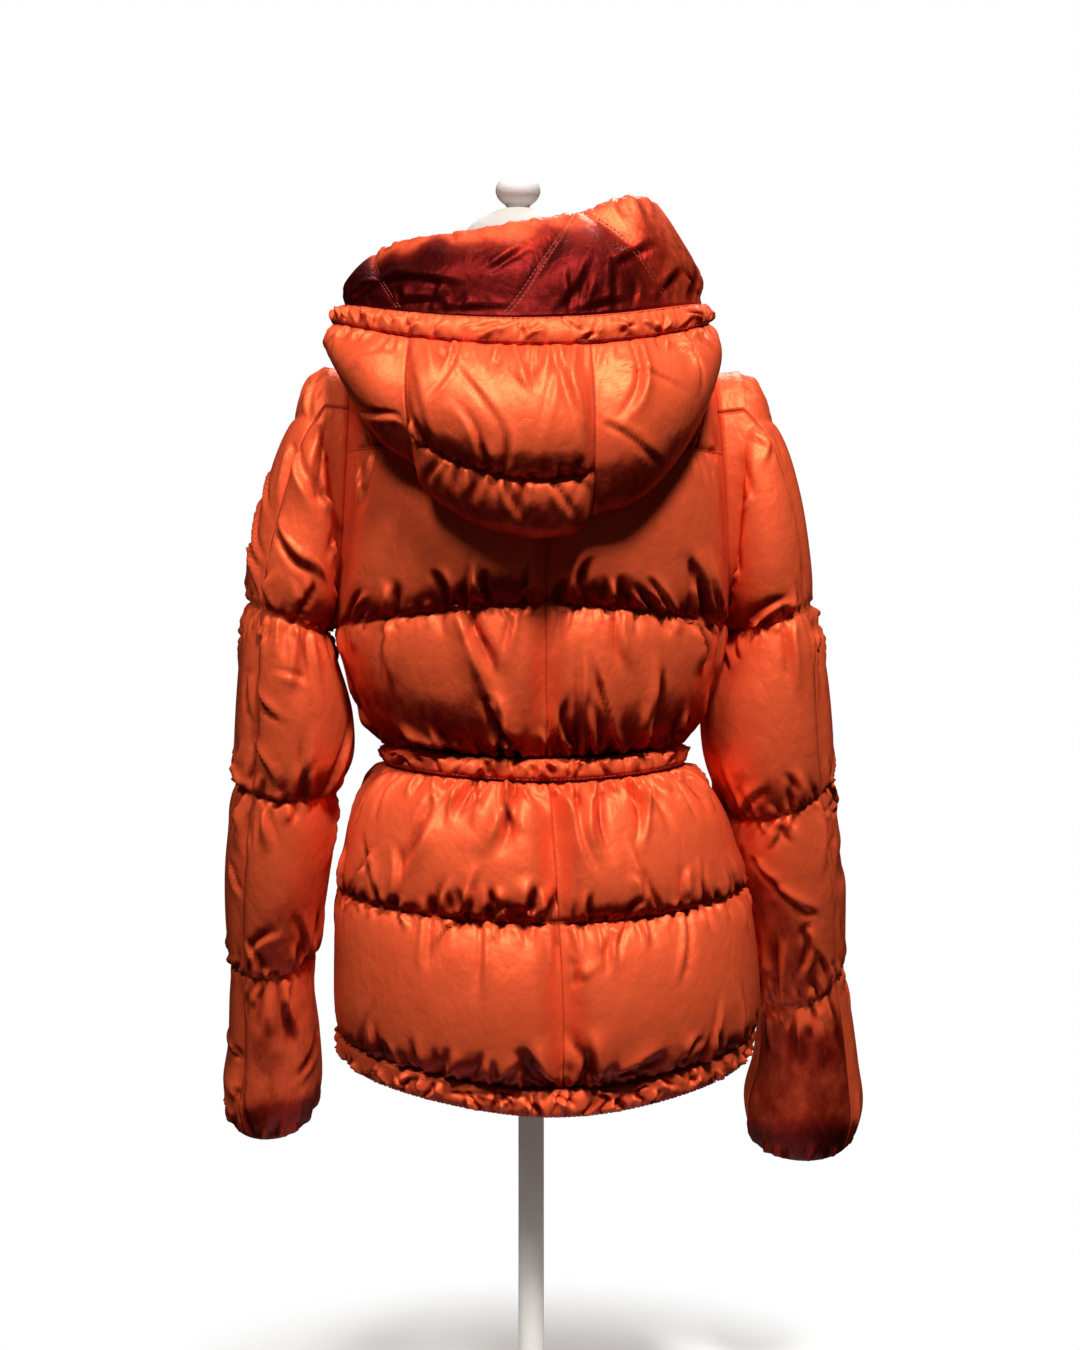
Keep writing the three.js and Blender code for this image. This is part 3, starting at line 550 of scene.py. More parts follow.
@dataclass
class Panel:
    """One sewn piece of padded cloth, on a smooth surface between its seams.

    at gives the stitched level at two fractions and loft how far the filled cloth stands over it.
    lines are the fractions up at which it is sewn down from edge to edge. size is the panel's
    width and height, and cell the grid's. gather is how much wider the cloth was cut than its
    widest row. Folds seen from behind lie where Y is over back_of at their height.
    """

    name: str
    at: Surface
    loft: Callable[[Array, Array], Array]
    sign: float
    size: tuple[float, float]
    stops: Sequence[float]
    lines: Sequence[float] = (0.0, 1.0)
    creases: Sequence[Crease] = ()
    cell: float = 2.3
    pucker: float = 0.9
    gather: float = 1.05
    wall: float = 3.0
    least: float = 0.15
    fill: float = 0.8
    finish: Optional[bpy.types.Material] = None
    seed: int = 1
    back_of: Callable[[Array], Array] = lambda z: 0.0 * z - 30.0
    # Extra painted shade, by fractions across and up.
    painted_shade: Surface = lambda u, v: 0.0 * u
    threads: Sequence[Run] = ()

    def counts(self, cell: float) -> tuple[int, list[int]]:
        """Return the grid's columns, and its rows between each two stops, for a cell size."""
        columns = 4 * max(round(self.size[0] / cell / 4), 1)
        parts = np.diff(self.stops) * self.size[1] / cell
        return columns, [4 * max(round(part / 4), 1) for part in parts]

    def grid(self, cell: float) -> tuple[Array, Array]:
        """Return the grid's fractions across and up, with rows that lie on every stop."""
        columns, rows = self.counts(cell)
        up = [np.linspace(low, high, n + 1)[:-1] for low, high, n in zip(self.stops, self.stops[1:], rows)]
        return np.meshgrid(np.linspace(0, 1, columns + 1), np.append(np.concatenate(up), self.stops[-1]))

    def rippled(self, u: Array, v: Array) -> Array:
        """Return the small puckers that the stitches draw up beside every sewn line."""
        rng = np.random.default_rng(self.seed)
        across = u * self.size[0]
        wave = np.zeros_like(u)
        for pitch in (6.3, 8.9, 12.7, 17.0):
            bend = 1.8 * np.sin(across / 37 * rng.uniform(0.7, 1.3) + rng.uniform(0, 6))
            wave = wave + np.cos(across * 2 * math.pi / pitch + bend + rng.uniform(0, 6)) * rng.uniform(0.5, 1)
        away = self.stitched(v)
        return self.pucker * wave * np.exp(-away / 7) * smooth(away / 2.5)

    def stitched(self, v: Array) -> Array:
        """Return distances up or down to the nearest sewn line."""
        return np.min([np.abs(v - line) for line in self.lines], axis=0) * self.size[1]

    def shape(self, u: Array, v: Array) -> tuple[Array, Array]:
        """Return the filled cloth's points and the painted shade at each.

        Args:
            u: Fractions across.
            v: Fractions up.

        Returns:
            The points, and painted shade from 0 on the open cloth to 1 in a deep or downward fold, with the
            panel's own painted shade added.
        """
        base = self.at(u, v)
        normal = outward(self.at, u, v, self.sign)
        height = self.loft(u, v)
        room = np.clip(height / 4, 0, 1)
        moved = self.rippled(u, v)
        for crease in self.creases:
            moved = moved + self.folded(crease, base, normal)
        points = base + normal * np.maximum(height + moved * room, self.least)[..., None]
        facing = np.cross(np.gradient(points, axis=1), np.gradient(points, axis=0)) * self.sign
        down = -facing[..., 2] / np.maximum(np.linalg.norm(facing, axis=-1), 1e-9)
        return points, SHADE.of(down, moved * room, self.stitched(v)) + self.painted_shade(u, v)

    def folded(self, crease: Crease, base: Array, normal: Array) -> Array:
        """Return how far a fold lifts each vertex.

        Args:
            crease: The fold, in the panel's own fractions.
            base: The stitched level.
            normal: Its outward directions.

        Returns:
            Heights in millimetres, negative in its trough.
        """
        ends = self.at(np.array([crease.start[0], crease.end[0]]), np.array([crease.start[1], crease.end[1]]))
        run = ends[1] - ends[0]
        length = max(float(np.linalg.norm(run)), 1e-6)
        offset = base - ends[0]
        along = np.clip((offset @ run) / length**2, 0, 1)
        away = offset - along[..., None] * run
        away = away - normal * np.einsum("ijk,ijk->ij", away, normal)[..., None]
        side = np.sign(np.einsum("ijk,ijk->ij", np.cross(run / length, away), normal))
        distance = (np.linalg.norm(away, axis=-1) * side + crease.bend * 4 * along * (1 - along)) * crease.lean
        return crease.depth * FOLD_FORM.height(distance, along, crease.width, self.cell)

    def seen(self, folds: Table, reach: float = 9.0) -> list[Crease]:
        """Return the folds of a table that start on this panel.

        Args:
            folds: Rows of x0, z0, x1, z1, width and depth in millimetres, as seen from behind.
            reach: How far off the panel a fold may start.

        Returns:
            The folds, in the panel's fractions.
        """
        u, v = self.grid(8.0)
        base = self.at(u, v)
        behind = np.where(base[..., 1] < self.back_of(base[..., 2]), 1e3, 0)
        creases: list[Crease] = []
        for number, (x0, z0, x1, z1, width, depth) in enumerate(folds.rows):
            spots = []
            for x, z in ((x0, z0), (x1, z1)):
                gap = np.hypot(base[..., 0] - x, base[..., 2] - z) + behind
                spot = np.unravel_index(np.argmin(gap), gap.shape)
                spots.append((float(u[spot]), float(v[spot]), float(gap[spot])))
            if spots[0][2] < reach:
                bend = 0.12 * math.hypot(x1 - x0, z1 - z0) * math.sin(2.7 * number)
                lean = 1.0 if math.sin(1.9 * number) > 0 else -1.0
                creases.append(Crease(spots[0][:2], spots[1][:2], width, depth, bend, lean))
        return creases

    def cut(self, u: Array, start: Array) -> Array:
        """Return the flat cut piece's points: gathered across, full length up."""
        widths = np.linalg.norm(np.diff(start, axis=1), axis=-1).sum(axis=1)
        span = max(len(widths) // 6, 1)
        padded = np.pad(widths, span, mode="edge")
        widest = np.max([padded[k: k + len(widths)] for k in range(2 * span + 1)], axis=0)
        up = np.linalg.norm(np.diff(start, axis=0), axis=-1).mean(axis=1)
        y = np.concatenate([[0], np.cumsum(up)]) * 1.02
        x = (u - 0.5) * (widest * self.gather)[:, None]
        return stack(x, np.broadcast_to(y[:, None], x.shape), 0.0 * x)


class Sewing:
    """Makes the padded panels' closed meshes."""

    def __init__(self) -> None:
        """Start with nothing sewn."""
        self.panels: list[Panel] = []

    def flat_mesh(self, name: str, points: Array) -> bpy.types.Mesh:
        """Return a grid mesh with its vertices, row by row, at points in millimetres."""
        shape = bmesh.new()
        bmesh.ops.create_grid(shape, x_segments=points.shape[1] - 1, y_segments=points.shape[0] - 1, size=1.0)
        mesh = bpy.data.meshes.new(name)
        shape.to_mesh(mesh)
        shape.free()
        mesh.vertices.foreach_set("co", (points * MM).astype(np.float32).ravel())
        return mesh

    def piece(self, panel: Panel) -> bpy.types.Object:
        """Make a panel's closed mesh: the filled shell, its folded edges and the plain lining.

        Args:
            panel: The sewn piece.

        Returns:
            Its object, dressed.
        """
        u, v = panel.grid(panel.cell)
        points, shades = panel.shape(u, v)
        whole = bmesh.new()
        self.layer(whole, points, panel.cut(u, points), shades)
        outer = [edge for edge in whole.edges if edge.is_boundary]
        known = set(outer)
        u, v = panel.grid(4 * panel.cell)
        inside = panel.at(u, v) - panel.wall * outward(panel.at, u, v, panel.sign)
        # The lining gets an even painted shade.
        self.layer(whole, inside, panel.cut(u, inside), np.full(u.shape, 0.3))
        inner = [edge for edge in whole.edges if edge.is_boundary and edge not in known]
        bmesh.ops.bridge_loops(whole, edges=outer + inner)
        bmesh.ops.recalc_face_normals(whole, faces=whole.faces)
        thing = linked(panel.name + "_cloth", whole)
        dress(thing, panel.finish, node=panel.name)
        return thing

    def layer(self, whole: bmesh.types.BMesh, points: Array, cut: Array, shades: Array) -> None:
        """Add a grid to a panel's mesh, with its flat cut piece as its UV map, in metres.

        Args:
            whole: The panel's mesh.
            points: The grid's points.
            cut: The flat cut piece's points.
            shades: The painted shade at each point.
        """
        mesh = self.flat_mesh("layer", points)
        attribute = mesh.attributes.new(PAINTED_SHADE_ATTRIBUTE, "FLOAT", "POINT")
        attribute.data.foreach_set("value", shades.astype(np.float32).ravel())
        flat = (cut.reshape(-1, 3) * MM)[:, :2]
        corners = np.empty(len(mesh.loops), dtype=np.int32)
        mesh.loops.foreach_get("vertex_index", corners)
        mesh.uv_layers.new(name="cut").data.foreach_set("uv", flat[corners].astype(np.float32).ravel())
        whole.from_mesh(mesh)
        bpy.data.meshes.remove(mesh)


@dataclass
class Stitching:
    """The dashes of thread along the sewn lines of a panel."""

    thread: bpy.types.Material
    pitch: float = 3.8
    dash: tuple[float, float, float] = (2.6, 0.6, 0.5)
    step: float = 0.1

    def sew(self, panel: Panel) -> None:
        """Add a panel's thread as one piece that rides on the jacket.

        Args:
            panel: The sewn piece.
        """
        if not panel.threads:
            return
        rows = bmesh.new()
        for run in panel.threads:
            u, v = run(np.linspace(0.004, 0.996, 900))
            normal = outward(panel.at, u, v, panel.sign)
            height = np.maximum(panel.loft(u, v), panel.least) + self.step
            points = panel.at(u, v) + normal * height[..., None]
            length = np.concatenate([[0], np.cumsum(np.linalg.norm(np.diff(points, axis=0), axis=-1))])
            for place in np.arange(self.pitch / 2, length[-1], self.pitch):
                k = min(int(np.searchsorted(length, place)), len(points) - 2)
                along = points[k + 1] - points[k - 1]
                along = along / np.linalg.norm(along)
                beside = np.cross(normal[k], along)
                frame_of = Matrix(np.column_stack([along, beside, normal[k], points[k] * MM]).tolist()).to_4x4()
                size = Matrix.Diagonal((*(part * MM for part in self.dash), 1.0))
                bmesh.ops.create_cube(rows, size=1.0, matrix=frame_of @ size)
        dress(linked(panel.name + "_thread", rows), self.thread, False)


def extent(at: Surface) -> tuple[float, float]:
    """Return a surface's width across its middle and its height up its middle."""
    run = np.linspace(0, 1, 60)
    middle = np.full(60, 0.5)
    across = np.linalg.norm(np.diff(at(run, middle), axis=0), axis=-1).sum()
    up = np.linalg.norm(np.diff(at(middle, run), axis=0), axis=-1).sum()
    return float(across), float(up)


# The body of the jacket


@dataclass(frozen=True)
class Line:
    """A stitched line round the body: its height at the side and its rise at back and front."""

    z: float
    back: float
    front: float

    def height(self, angle: Array) -> Array:
        """Return its height at an angle from the centre back."""
        c = np.cos(angle)
        return self.z + np.where(c > 0, self.back, self.front) * np.abs(c) ** 1.5


@dataclass(frozen=True)
class Baffle:
    """A filled channel between two lines, with its loft at the back, side and front."""

    below: Line
    above: Line
    back: float
    side: float
    front: float


@dataclass(frozen=True)
class Torso:
    """Sizes of the jacket's body at its stitched level."""

    sections: Table = Table(
        ("z", "side", "back", "front", "square"),
        (
            (315, 168, 116, 112, 2.3), (347, 168, 118, 112, 2.3), (371, 175, 122, 113, 2.3),
            (430, 173, 124, 112, 2.3), (488, 171, 120, 108, 2.3), (520, 160, 114, 104, 2.3),
            (545, 153, 108, 101, 2.3), (571, 142, 100, 97, 2.25), (592, 126, 93, 92, 2.2),
            (602, 121, 90, 90, 2.2), (611, 122, 91, 90, 2.2), (622, 129, 94, 92, 2.2),
            (640, 140, 100, 97, 2.25), (665, 150, 106, 104, 2.3), (707, 165, 112, 112, 2.35),
            (760, 168, 116, 118, 2.4), (814, 167, 117, 115, 2.4), (851, 164, 112, 104, 2.4),
            (880, 161, 103, 92, 2.35), (905, 157, 88, 78, 2.3), (922, 150, 74, 66, 2.2),
            (935, 118, 67, 62, 2.1), (948, 88, 62, 58, 2.05), (960, 66, 58, 56, 2),
        ),
    )
    half_gap: float = 0.2
    hem_lean: float = 13.0
    hem_z: float = 344.0
    underarm: float = 706.0
    shoulder_tip: float = 922.0
    armhole_turn: float = 17.0
    zip_half_width: float = 9.0

    def lean(self, z: Array) -> Array:
        """Return how far the jacket hangs towards its right at a height."""
        return -self.hem_lean * smooth((self.underarm - z) / (self.underarm - self.hem_z))

    def point(self, angle: Array, z: Array, hand: int = 1) -> Array:
        """Return points of the stitched level.

        Args:
            angle: Angles from the centre back, towards the left for hand 1 or the right for -1.
            z: Heights.
            hand: Which side the angles turn to.

        Returns:
            The points.
        """
        c, s = np.cos(angle), np.sin(angle)
        side = self.sections.read("side", z)
        depth = np.where(c > 0, self.sections.read("back", z), self.sections.read("front", z))
        n = self.sections.read("square", z)
        radius = ((np.abs(c) / depth) ** n + (np.abs(s) / side) ** n) ** (-1 / n)
        return stack(hand * radius * s + self.lean(z), radius * c, z)

    def zip_angle(self, z: Array) -> Array:
        """Return the angle at which the zip starts at the centre front."""
        return math.pi - np.arcsin(self.zip_half_width / self.sections.read("front", z))

    def armhole(self, z: Array) -> Array:
        """Return how far the armhole has opened at a height, from 0 to 1."""
        middle = (self.underarm + self.shoulder_tip) / 2
        reach = (z - middle) / (self.shoulder_tip - middle)
        return np.sqrt(np.clip(1 - reach * reach, 0, 1))

    def shoulder(self, x: Array, y: Array, low: float, high: float) -> Array:
        """Return the height of the shoulders over points seen from above, or -inf beside them.

        Args:
            x: The points' places across.
            y: The points' places in depth.
            low: Height at which the shoulders start.
            high: Height at which they end.

        Returns:
            The heights.
        """

        def is_over(z: Array) -> Array:
            """Return which points lie over the section at their height."""
            edge = self.point(np.arctan2(x, y), z)
            return np.hypot(edge[..., 0], edge[..., 1]) > np.hypot(x, y)

        low = np.full(np.shape(x), low, dtype=float)
        high = np.full(np.shape(x), high, dtype=float)
        over = is_over(low)
        for _ in range(20):
            z = (low + high) / 2
            inside = is_over(z)
            low = np.where(inside, z, low)
            high = np.where(inside, high, z)
        return np.where(over, (low + high) / 2, -np.inf)


TORSO = Torso()
HEM_BOTTOM = Line(344, -28, 0)
HEM_TOP = Line(368, -28, 0)
LOWER_QUILT = Line(488, -15, 0)
WAIST_BOTTOM = Line(592, -9, -4)
WAIST_TOP = Line(611, -9, -4)
CHEST_QUILT = Line(707, 20, 0)
YOKE_QUILT = Line(851, 0, 0)
NECK = Line(960, -12, -50)
LOWER = (Baffle(HEM_TOP, LOWER_QUILT, 24, 9, 17), Baffle(LOWER_QUILT, WAIST_BOTTOM, 21, 9, 14))
UPPER = (
    Baffle(WAIST_TOP, CHEST_QUILT, 20, 8, 14),
    Baffle(CHEST_QUILT, YOKE_QUILT, 20, 7, 16),
    Baffle(YOKE_QUILT, NECK, 9, 5, 8),
)


class Face(Enum):
    """The two faces of the jacket."""

    BACK = "back"
    FRONT = "front"


@dataclass
class Gathers:
    """The small folds that a sewn line draws up, uneven in place, length and depth."""

    seed: int

    def __post_init__(self) -> None:
        """Start the seeded series."""
        self.rng = np.random.default_rng(self.seed)

    def along(
        self, width: float, line: float, height: float, upward: bool,
        pitch: float = 15.0, length: float = 30.0, depth: float = 3.0,
    ) -> list[Crease]:
        """Return the folds on one side of a line.

        Args:
            width: The panel's width along the line.
            line: The line's fraction up the panel.
            height: The panel's height.
            upward: Whether the folds run up from the line or down.
            pitch: Usual distance between folds.
            length: Usual length of a fold.
            depth: Usual depth of a fold.

        Returns:
            The folds, in the panel's fractions.
        """
        creases: list[Crease] = []
        place = self.rng.uniform(0.2, 0.8) * pitch
        while place < width:
            reach = length * float(self.rng.choice([0.4, 0.6, 0.9, 1.3, 2.2])) * self.rng.uniform(0.7, 1.3)
            slant = self.rng.normal(0, 0.3) * reach
            u = place / width
            v = line + (1 if upward else -1) * reach / height
            end = (float(np.clip(u + slant / width, 0.01, 0.99)), float(np.clip(v, 0.01, 0.99)))
            creases.append(Crease(
                (u, line), end, float(self.rng.uniform(1.9, 3.1) * (1 + reach / 110)),
                float(depth * self.rng.uniform(0.5, 1.3) * self.rng.choice([-1, 1, 1])),
                float(self.rng.normal(0, 0.08) * reach), float(self.rng.choice([-1, 1])),
            ))
            place += pitch * self.rng.uniform(0.5, 1.6)
        return creases

    def beside(
        self, width: float, stops: Array, height: float, sizes: Sequence[tuple[float, float, float]],
    ) -> list[Crease]:
        """Return the folds above and below each stop of a panel.

        Args:
            width: The panel's width.
            stops: The stops' fractions up.
            height: The panel's height.
            sizes: Usual pitch, length and depth of the folds at each stop.

        Returns:
            The folds, in the panel's fractions.
        """
        creases: list[Crease] = []
        for number, (stop, size) in enumerate(zip(stops, sizes)):
            if number < len(stops) - 1:
                creases += self.along(width, float(stop), height, True, *size)
            if number > 0:
                creases += self.along(width, float(stop), height, False, *size)
        return creases

    def crumpled(self, width: float, height: float, pitch: float = 7.5, depth: float = 2.8) -> list[Crease]:
        """Return the slanting folds of a strip that is gathered over elastic.

        Args:
            width: The strip's length.
            height: Its height.
            pitch: Usual distance between folds.
            depth: Usual height of a fold.

        Returns:
            The folds, in the strip's fractions.
        """
        creases: list[Crease] = []
        place = 0.0
        while place < width:
            low, high = sorted(self.rng.uniform(0.0, 1.0, 2))
            low, high = min(low, 0.35), max(high, 0.65)
            slant = self.rng.normal(0, 0.45) * height
            ends = ((place / width, low), (float(np.clip((place + slant) / width, 0, 1)), high))
            start, end = ends if self.rng.uniform() > 0.5 else ends[::-1]
            creases.append(Crease(
                start, end, float(self.rng.uniform(2.0, 3.6)), float(depth * self.rng.uniform(0.4, 1.4)),
                float(self.rng.normal(0, 1.5)), float(self.rng.choice([-1, 1])),
            ))
            place += pitch * self.rng.uniform(0.4, 1.8)
        return creases


# Main folds of the back as seen from behind: where each starts, where it ends, half width, height.
FOLD_COLUMNS = ("x0", "z0", "x1", "z1", "width", "depth")
BACK_FOLDS = Table(
    FOLD_COLUMNS,
    (
        (70, 721, 40, 650, 8, 6), (40, 650, 10, 608, 7, 6), (68, 614, 120, 648, 7, 5),
        (32, 629, 40, 663, 4, 4), (-20, 613, -9, 650, 4, 4), (-43, 615, -36, 663, 5, 4),
        (-65, 609, -58, 637, 4, 3), (-105, 624, -113, 644, 5, 3), (120, 712, 116, 661, 5, 4),
        (-120, 705, -122, 670, 5, 5), (-58, 721, -68, 675, 5, 4), (-88, 613, -78, 650, 5, 3),
        (94, 612, 110, 637, 4, 3), (25, 610, 49, 626, 4, 3), (-2, 608, 7, 633, 4, 3),
        (-137, 714, -109, 778, 7, 5), (-148, 714, -128, 778, 5, 4), (121, 716, 126, 750, 5, 4),
        (-20, 728, -26, 773, 6, 5), (74, 724, 84, 762, 5, 4), (48, 728, 54, 754, 4, 3),
        (-55, 727, -47, 750, 4, 3), (-95, 720, -80, 742, 4, 3), (30, 586, 54, 522, 8, 6.5),
        (30, 586, 13, 538, 6, 5), (1, 587, -20, 540, 7, 5.5), (-43, 589, -39, 514, 7, 5),
        (-65, 589, -80, 554, 6, 5), (-86, 593, -104, 568, 5, 4), (57, 591, 81, 549, 7, 5),
        (83, 567, 105, 500, 8, 5), (115, 494, 116, 538, 4, 3), (132, 593, 148, 505, 7, 4.5),
        (71, 591, 94, 533, 6, 4.5), (-109, 595, -139, 547, 6, 4), (60, 484, 64, 505, 4, 3.5),
        (36, 482, 40, 502, 4, 3.5), (16, 480, 15, 510, 6, 5), (5, 478, -1, 506, 6, 4.5),
        (-110, 495, -113, 515, 4, 3), (-70, 486, -62, 509, 4, 3), (-31, 475, -28, 498, 4, 3),
        (60, 483, 82, 469, 4, 3), (36, 482, 46, 463, 4, 3), (12, 480, 24, 471, 5, 3.5),
        (-46, 477, -57, 463, 5, 3.5), (-42, 475, -37, 451, 5, 4), (-24, 442, -34, 429, 7, 3),
        (-7, 346, 9, 393, 9, 5), (-42, 357, -23, 401, 9, 5), (-54, 359, -90, 379, 6, 3),
        (40, 348, 24, 373, 5, 3), (80, 354, 72, 379, 5, 3), (-110, 364, -118, 385, 5, 3),
    ),
)


@dataclass
class BodyPanels:
    """The eight padded panels of the jacket's back and front."""

    finish: bpy.types.Material
    gathers: tuple[float, float, float] = (13.0, 24.0, 2.6)
    waist_gathers: tuple[float, float, float] = (12.0, 34.0, 3.6)

    def panel(self, face: Face, hand: int, baffles: Sequence[Baffle], seed: int) -> Panel:
        """Cut one panel.

        Args:
            face: The back or the front.
            hand: 1 on the wearer's left, -1 on the right.
            baffles: Its baffles, from below.
            seed: Start of its seeded folds.

        Returns:
            The panel, not yet sewn.
        """
        upper = baffles is UPPER
        back = face is Face.BACK
        rises = [baffle.above.z - baffle.below.z for baffle in baffles]
        stops = shares(rises)
        below = [baffle.below for baffle in baffles]
        above = [baffle.above for baffle in baffles]

        def place(v: Array) -> tuple[Array, Array]:
            """Return the baffle that each fraction up lies in, and where in it."""
            index = np.clip(np.searchsorted(stops, v, side="left") - 1, 0, len(baffles) - 1)
            t = (v - stops[index]) / (stops[index + 1] - stops[index])
            return index, np.clip(t, 0, 1)

        def angles(z: Array) -> tuple[Array, Array]:
            """Return the angles at which the panel starts and ends."""
            turn = TORSO.armhole_turn * DEG * TORSO.armhole(z)
            gap = TORSO.half_gap / 140
            if back:
                return np.full_like(z, gap), math.pi / 2 - turn - gap
            return math.pi / 2 + turn + gap, TORSO.zip_angle(z) - gap

        def side_height(v: Array) -> Array:
            """Return the height at the side seam."""
            index, t = place(v)
            low = np.array([line.z for line in below])[index]
            high = np.array([line.z for line in above])[index]
            return lerp(low, high, t)

        def at(u: Array, v: Array) -> Array:
            """Return points of the stitched level."""
            index, t = place(v)
            trim = lerp(TORSO.half_gap, -TORSO.half_gap, v)
            start, end = angles(side_height(v) + trim)
            angle = lerp(start, end, u)
            low = np.choose(index, [line.height(angle) for line in below])
            high = np.choose(index, [line.height(angle) for line in above])
            return TORSO.point(angle, lerp(low, high, t) + trim, hand)

        def loft(u: Array, v: Array) -> Array:
            """Return how far the filled cloth stands over it."""
            index, t = place(v)
            z = side_height(v)
            start, end = angles(z)
            angle = lerp(start, end, u)
            facing = np.cos(angle) ** 2
            side = np.array([baffle.side for baffle in baffles])[index]
            deep = np.array([baffle.back if back else baffle.front for baffle in baffles])[index]
            seamed = u if back else 1 - u
            seam = drawn_in(seamed, 0.75, 0.07)
            arm = np.where(TORSO.armhole(z) > 0, smooth((1 - seamed) / 0.2), 1.0)
            edge = drawn_in(1 - seamed, 0.7, 0.07)
            return lerp(side, deep, facing) * sagging(t) * seam * arm * edge

        def painted_shade(u: Array, v: Array) -> Array:
            """Return the painted shade low in each baffle, where its bulge turns under."""
            _, t = place(v)
            reach = 0.26 + 0.06 * np.sin(9 * u + seed) + 0.05 * np.sin(23 * u + 2 * seed)
            return 0.30 * smooth((reach - t) / 0.2)

        width, height = extent(at)
        sizes = [self.gathers] * len(stops)
        sizes[0 if upper else -1] = self.waist_gathers
        creases = Gathers(seed).beside(width, stops, height, sizes)
        name = f"{face.value}_{'upper' if upper else 'lower'}_{'left' if hand > 0 else 'right'}"
        panel = Panel(
            name=name, at=at, loft=loft, sign=-hand, size=(width, height), stops=stops, lines=stops,
            creases=creases, finish=self.finish, seed=seed,
            threads=[across(float(stop)) for stop in stops[1:-1]], painted_shade=painted_shade,
        )
        if back:
            panel.creases += panel.seen(BACK_FOLDS)
        return panel

    def panels(self) -> list[Panel]:
        """Return all eight panels."""
        made: list[Panel] = []
        for number, (face, hand) in enumerate((f, h) for f in Face for h in (1, -1)):
            made.append(self.panel(face, hand, UPPER, 11 + number))
            made.append(self.panel(face, hand, LOWER, 31 + number))
        return made


@dataclass
class Casings:
    """The gathered elastic casings at the waist and the hem."""

    finish: bpy.types.Material

    def casing(self, name: str, below: Line, above: Line, crown: float, seed: int) -> Panel:
        """Cut one casing.

        Args:
            name: Its node.
            below: Its lower line.
            above: Its upper line.
            crown: How far it stands over the stitched level.
            seed: Start of its seeded folds.

        Returns:
            The panel, not yet sewn.
        """
        end = float(TORSO.zip_angle(np.array([below.z]))[0]) - 0.002

        def at(u: Array, v: Array) -> Array:
            """Return points of the stitched level."""
            angle = lerp(-end, end, u)
            trim = lerp(TORSO.half_gap, -TORSO.half_gap, v)
            return TORSO.point(angle, lerp(below.height(angle), above.height(angle), v) + trim)

        width, height = extent(at)
        folds = Gathers(seed).crumpled(width, height)
        return Panel(
            name=name, at=at, loft=lambda u, v: crown * pillow(v, 0.4) * (1 + 0 * u), sign=-1,
            size=(width, height), stops=(0.0, 1.0), creases=folds, finish=self.finish, fill=0.3,
            cell=1.6, pucker=0.5, seed=seed, threads=[across(0.05), across(0.95)],
        )

    def panels(self) -> list[Panel]:
        """Return both casings."""
        return [
            self.casing("waist_casing", WAIST_BOTTOM, WAIST_TOP, 8.5, 51),
            self.casing("hem_casing", HEM_BOTTOM, HEM_TOP, 7.0, 52),
        ]


# Sleeves

SLEEVE_COLUMNS = ("row", "outX", "outZ", "inX", "inZ", "y", "depth", "tilt")
SLEEVE_LEFT = Table(
    SLEEVE_COLUMNS,
    (
        (0, 174, 924, 168.6, 705.5, 0, 50, 0), (1, 190, 900, 169.6, 705, 0, 56, 0),
        (2, 202, 868, 170.6, 704.5, 0, 59, 0), (3, 215, 822, 171.6, 704, -1, 61, 0),
        (4, 227, 775, 172.8, 703, -2, 60, 0), (5, 235, 728, 174, 702, -4, 57, 2),
        (6, 237, 690, 168, 672, -6, 60, 4), (7, 239, 652, 160, 638, -9, 62, 6),
        (8, 242, 612, 158, 602, -12, 60, 8), (9, 246, 577, 168, 572, -14, 55, 10),
        (10, 249, 542, 171, 538, -22, 57, 12), (11, 252, 503, 178, 497, -32, 57, 14),
        (12, 253, 460, 183, 459, -42, 54, 15), (13, 253, 419, 186, 428, -50, 49, 15),
        (14, 253, 386, 188, 388, -58, 49, 16), (15, 254, 343, 184, 345, -70, 50, 17),
        (16, 259, 307, 183, 309, -78, 50, 16), (17, 257, 272, 189, 276, -86, 45, 15),
    ),
)
SLEEVE_RIGHT = Table(
    SLEEVE_COLUMNS,
    (
        (0, 177, 925, 168.6, 705.5, 0, 50, 0), (1, 196, 902, 169.6, 705, 0, 56, 0),
        (2, 210, 868, 170.6, 704.5, 0, 59, 0), (3, 221, 822, 171.6, 704, -1, 61, 0),
        (4, 230, 775, 172.8, 703, -2, 60, 0), (5, 240, 727, 174, 703, -4, 57, 2),
        (6, 245, 690, 167, 672, -6, 60, 4), (7, 250, 650, 159, 638, -9, 62, 6),
        (8, 255, 610, 161, 592, -12, 61, 8), (9, 260, 577, 175, 545, -15, 56, 10),
        (10, 265, 540, 183, 512, -24, 58, 12), (11, 273, 495, 194, 474, -35, 58, 14),
        (12, 277, 450, 202, 430, -45, 54, 15), (13, 283, 408, 213, 378, -55, 49, 15),
        (14, 292, 361, 218, 345, -66, 50, 16), (15, 300, 314, 217, 307, -76, 53, 17),
        (16, 307, 278, 210, 274, -84, 54, 16), (17, 304, 244, 214, 238, -92, 49, 15),
    ),
)


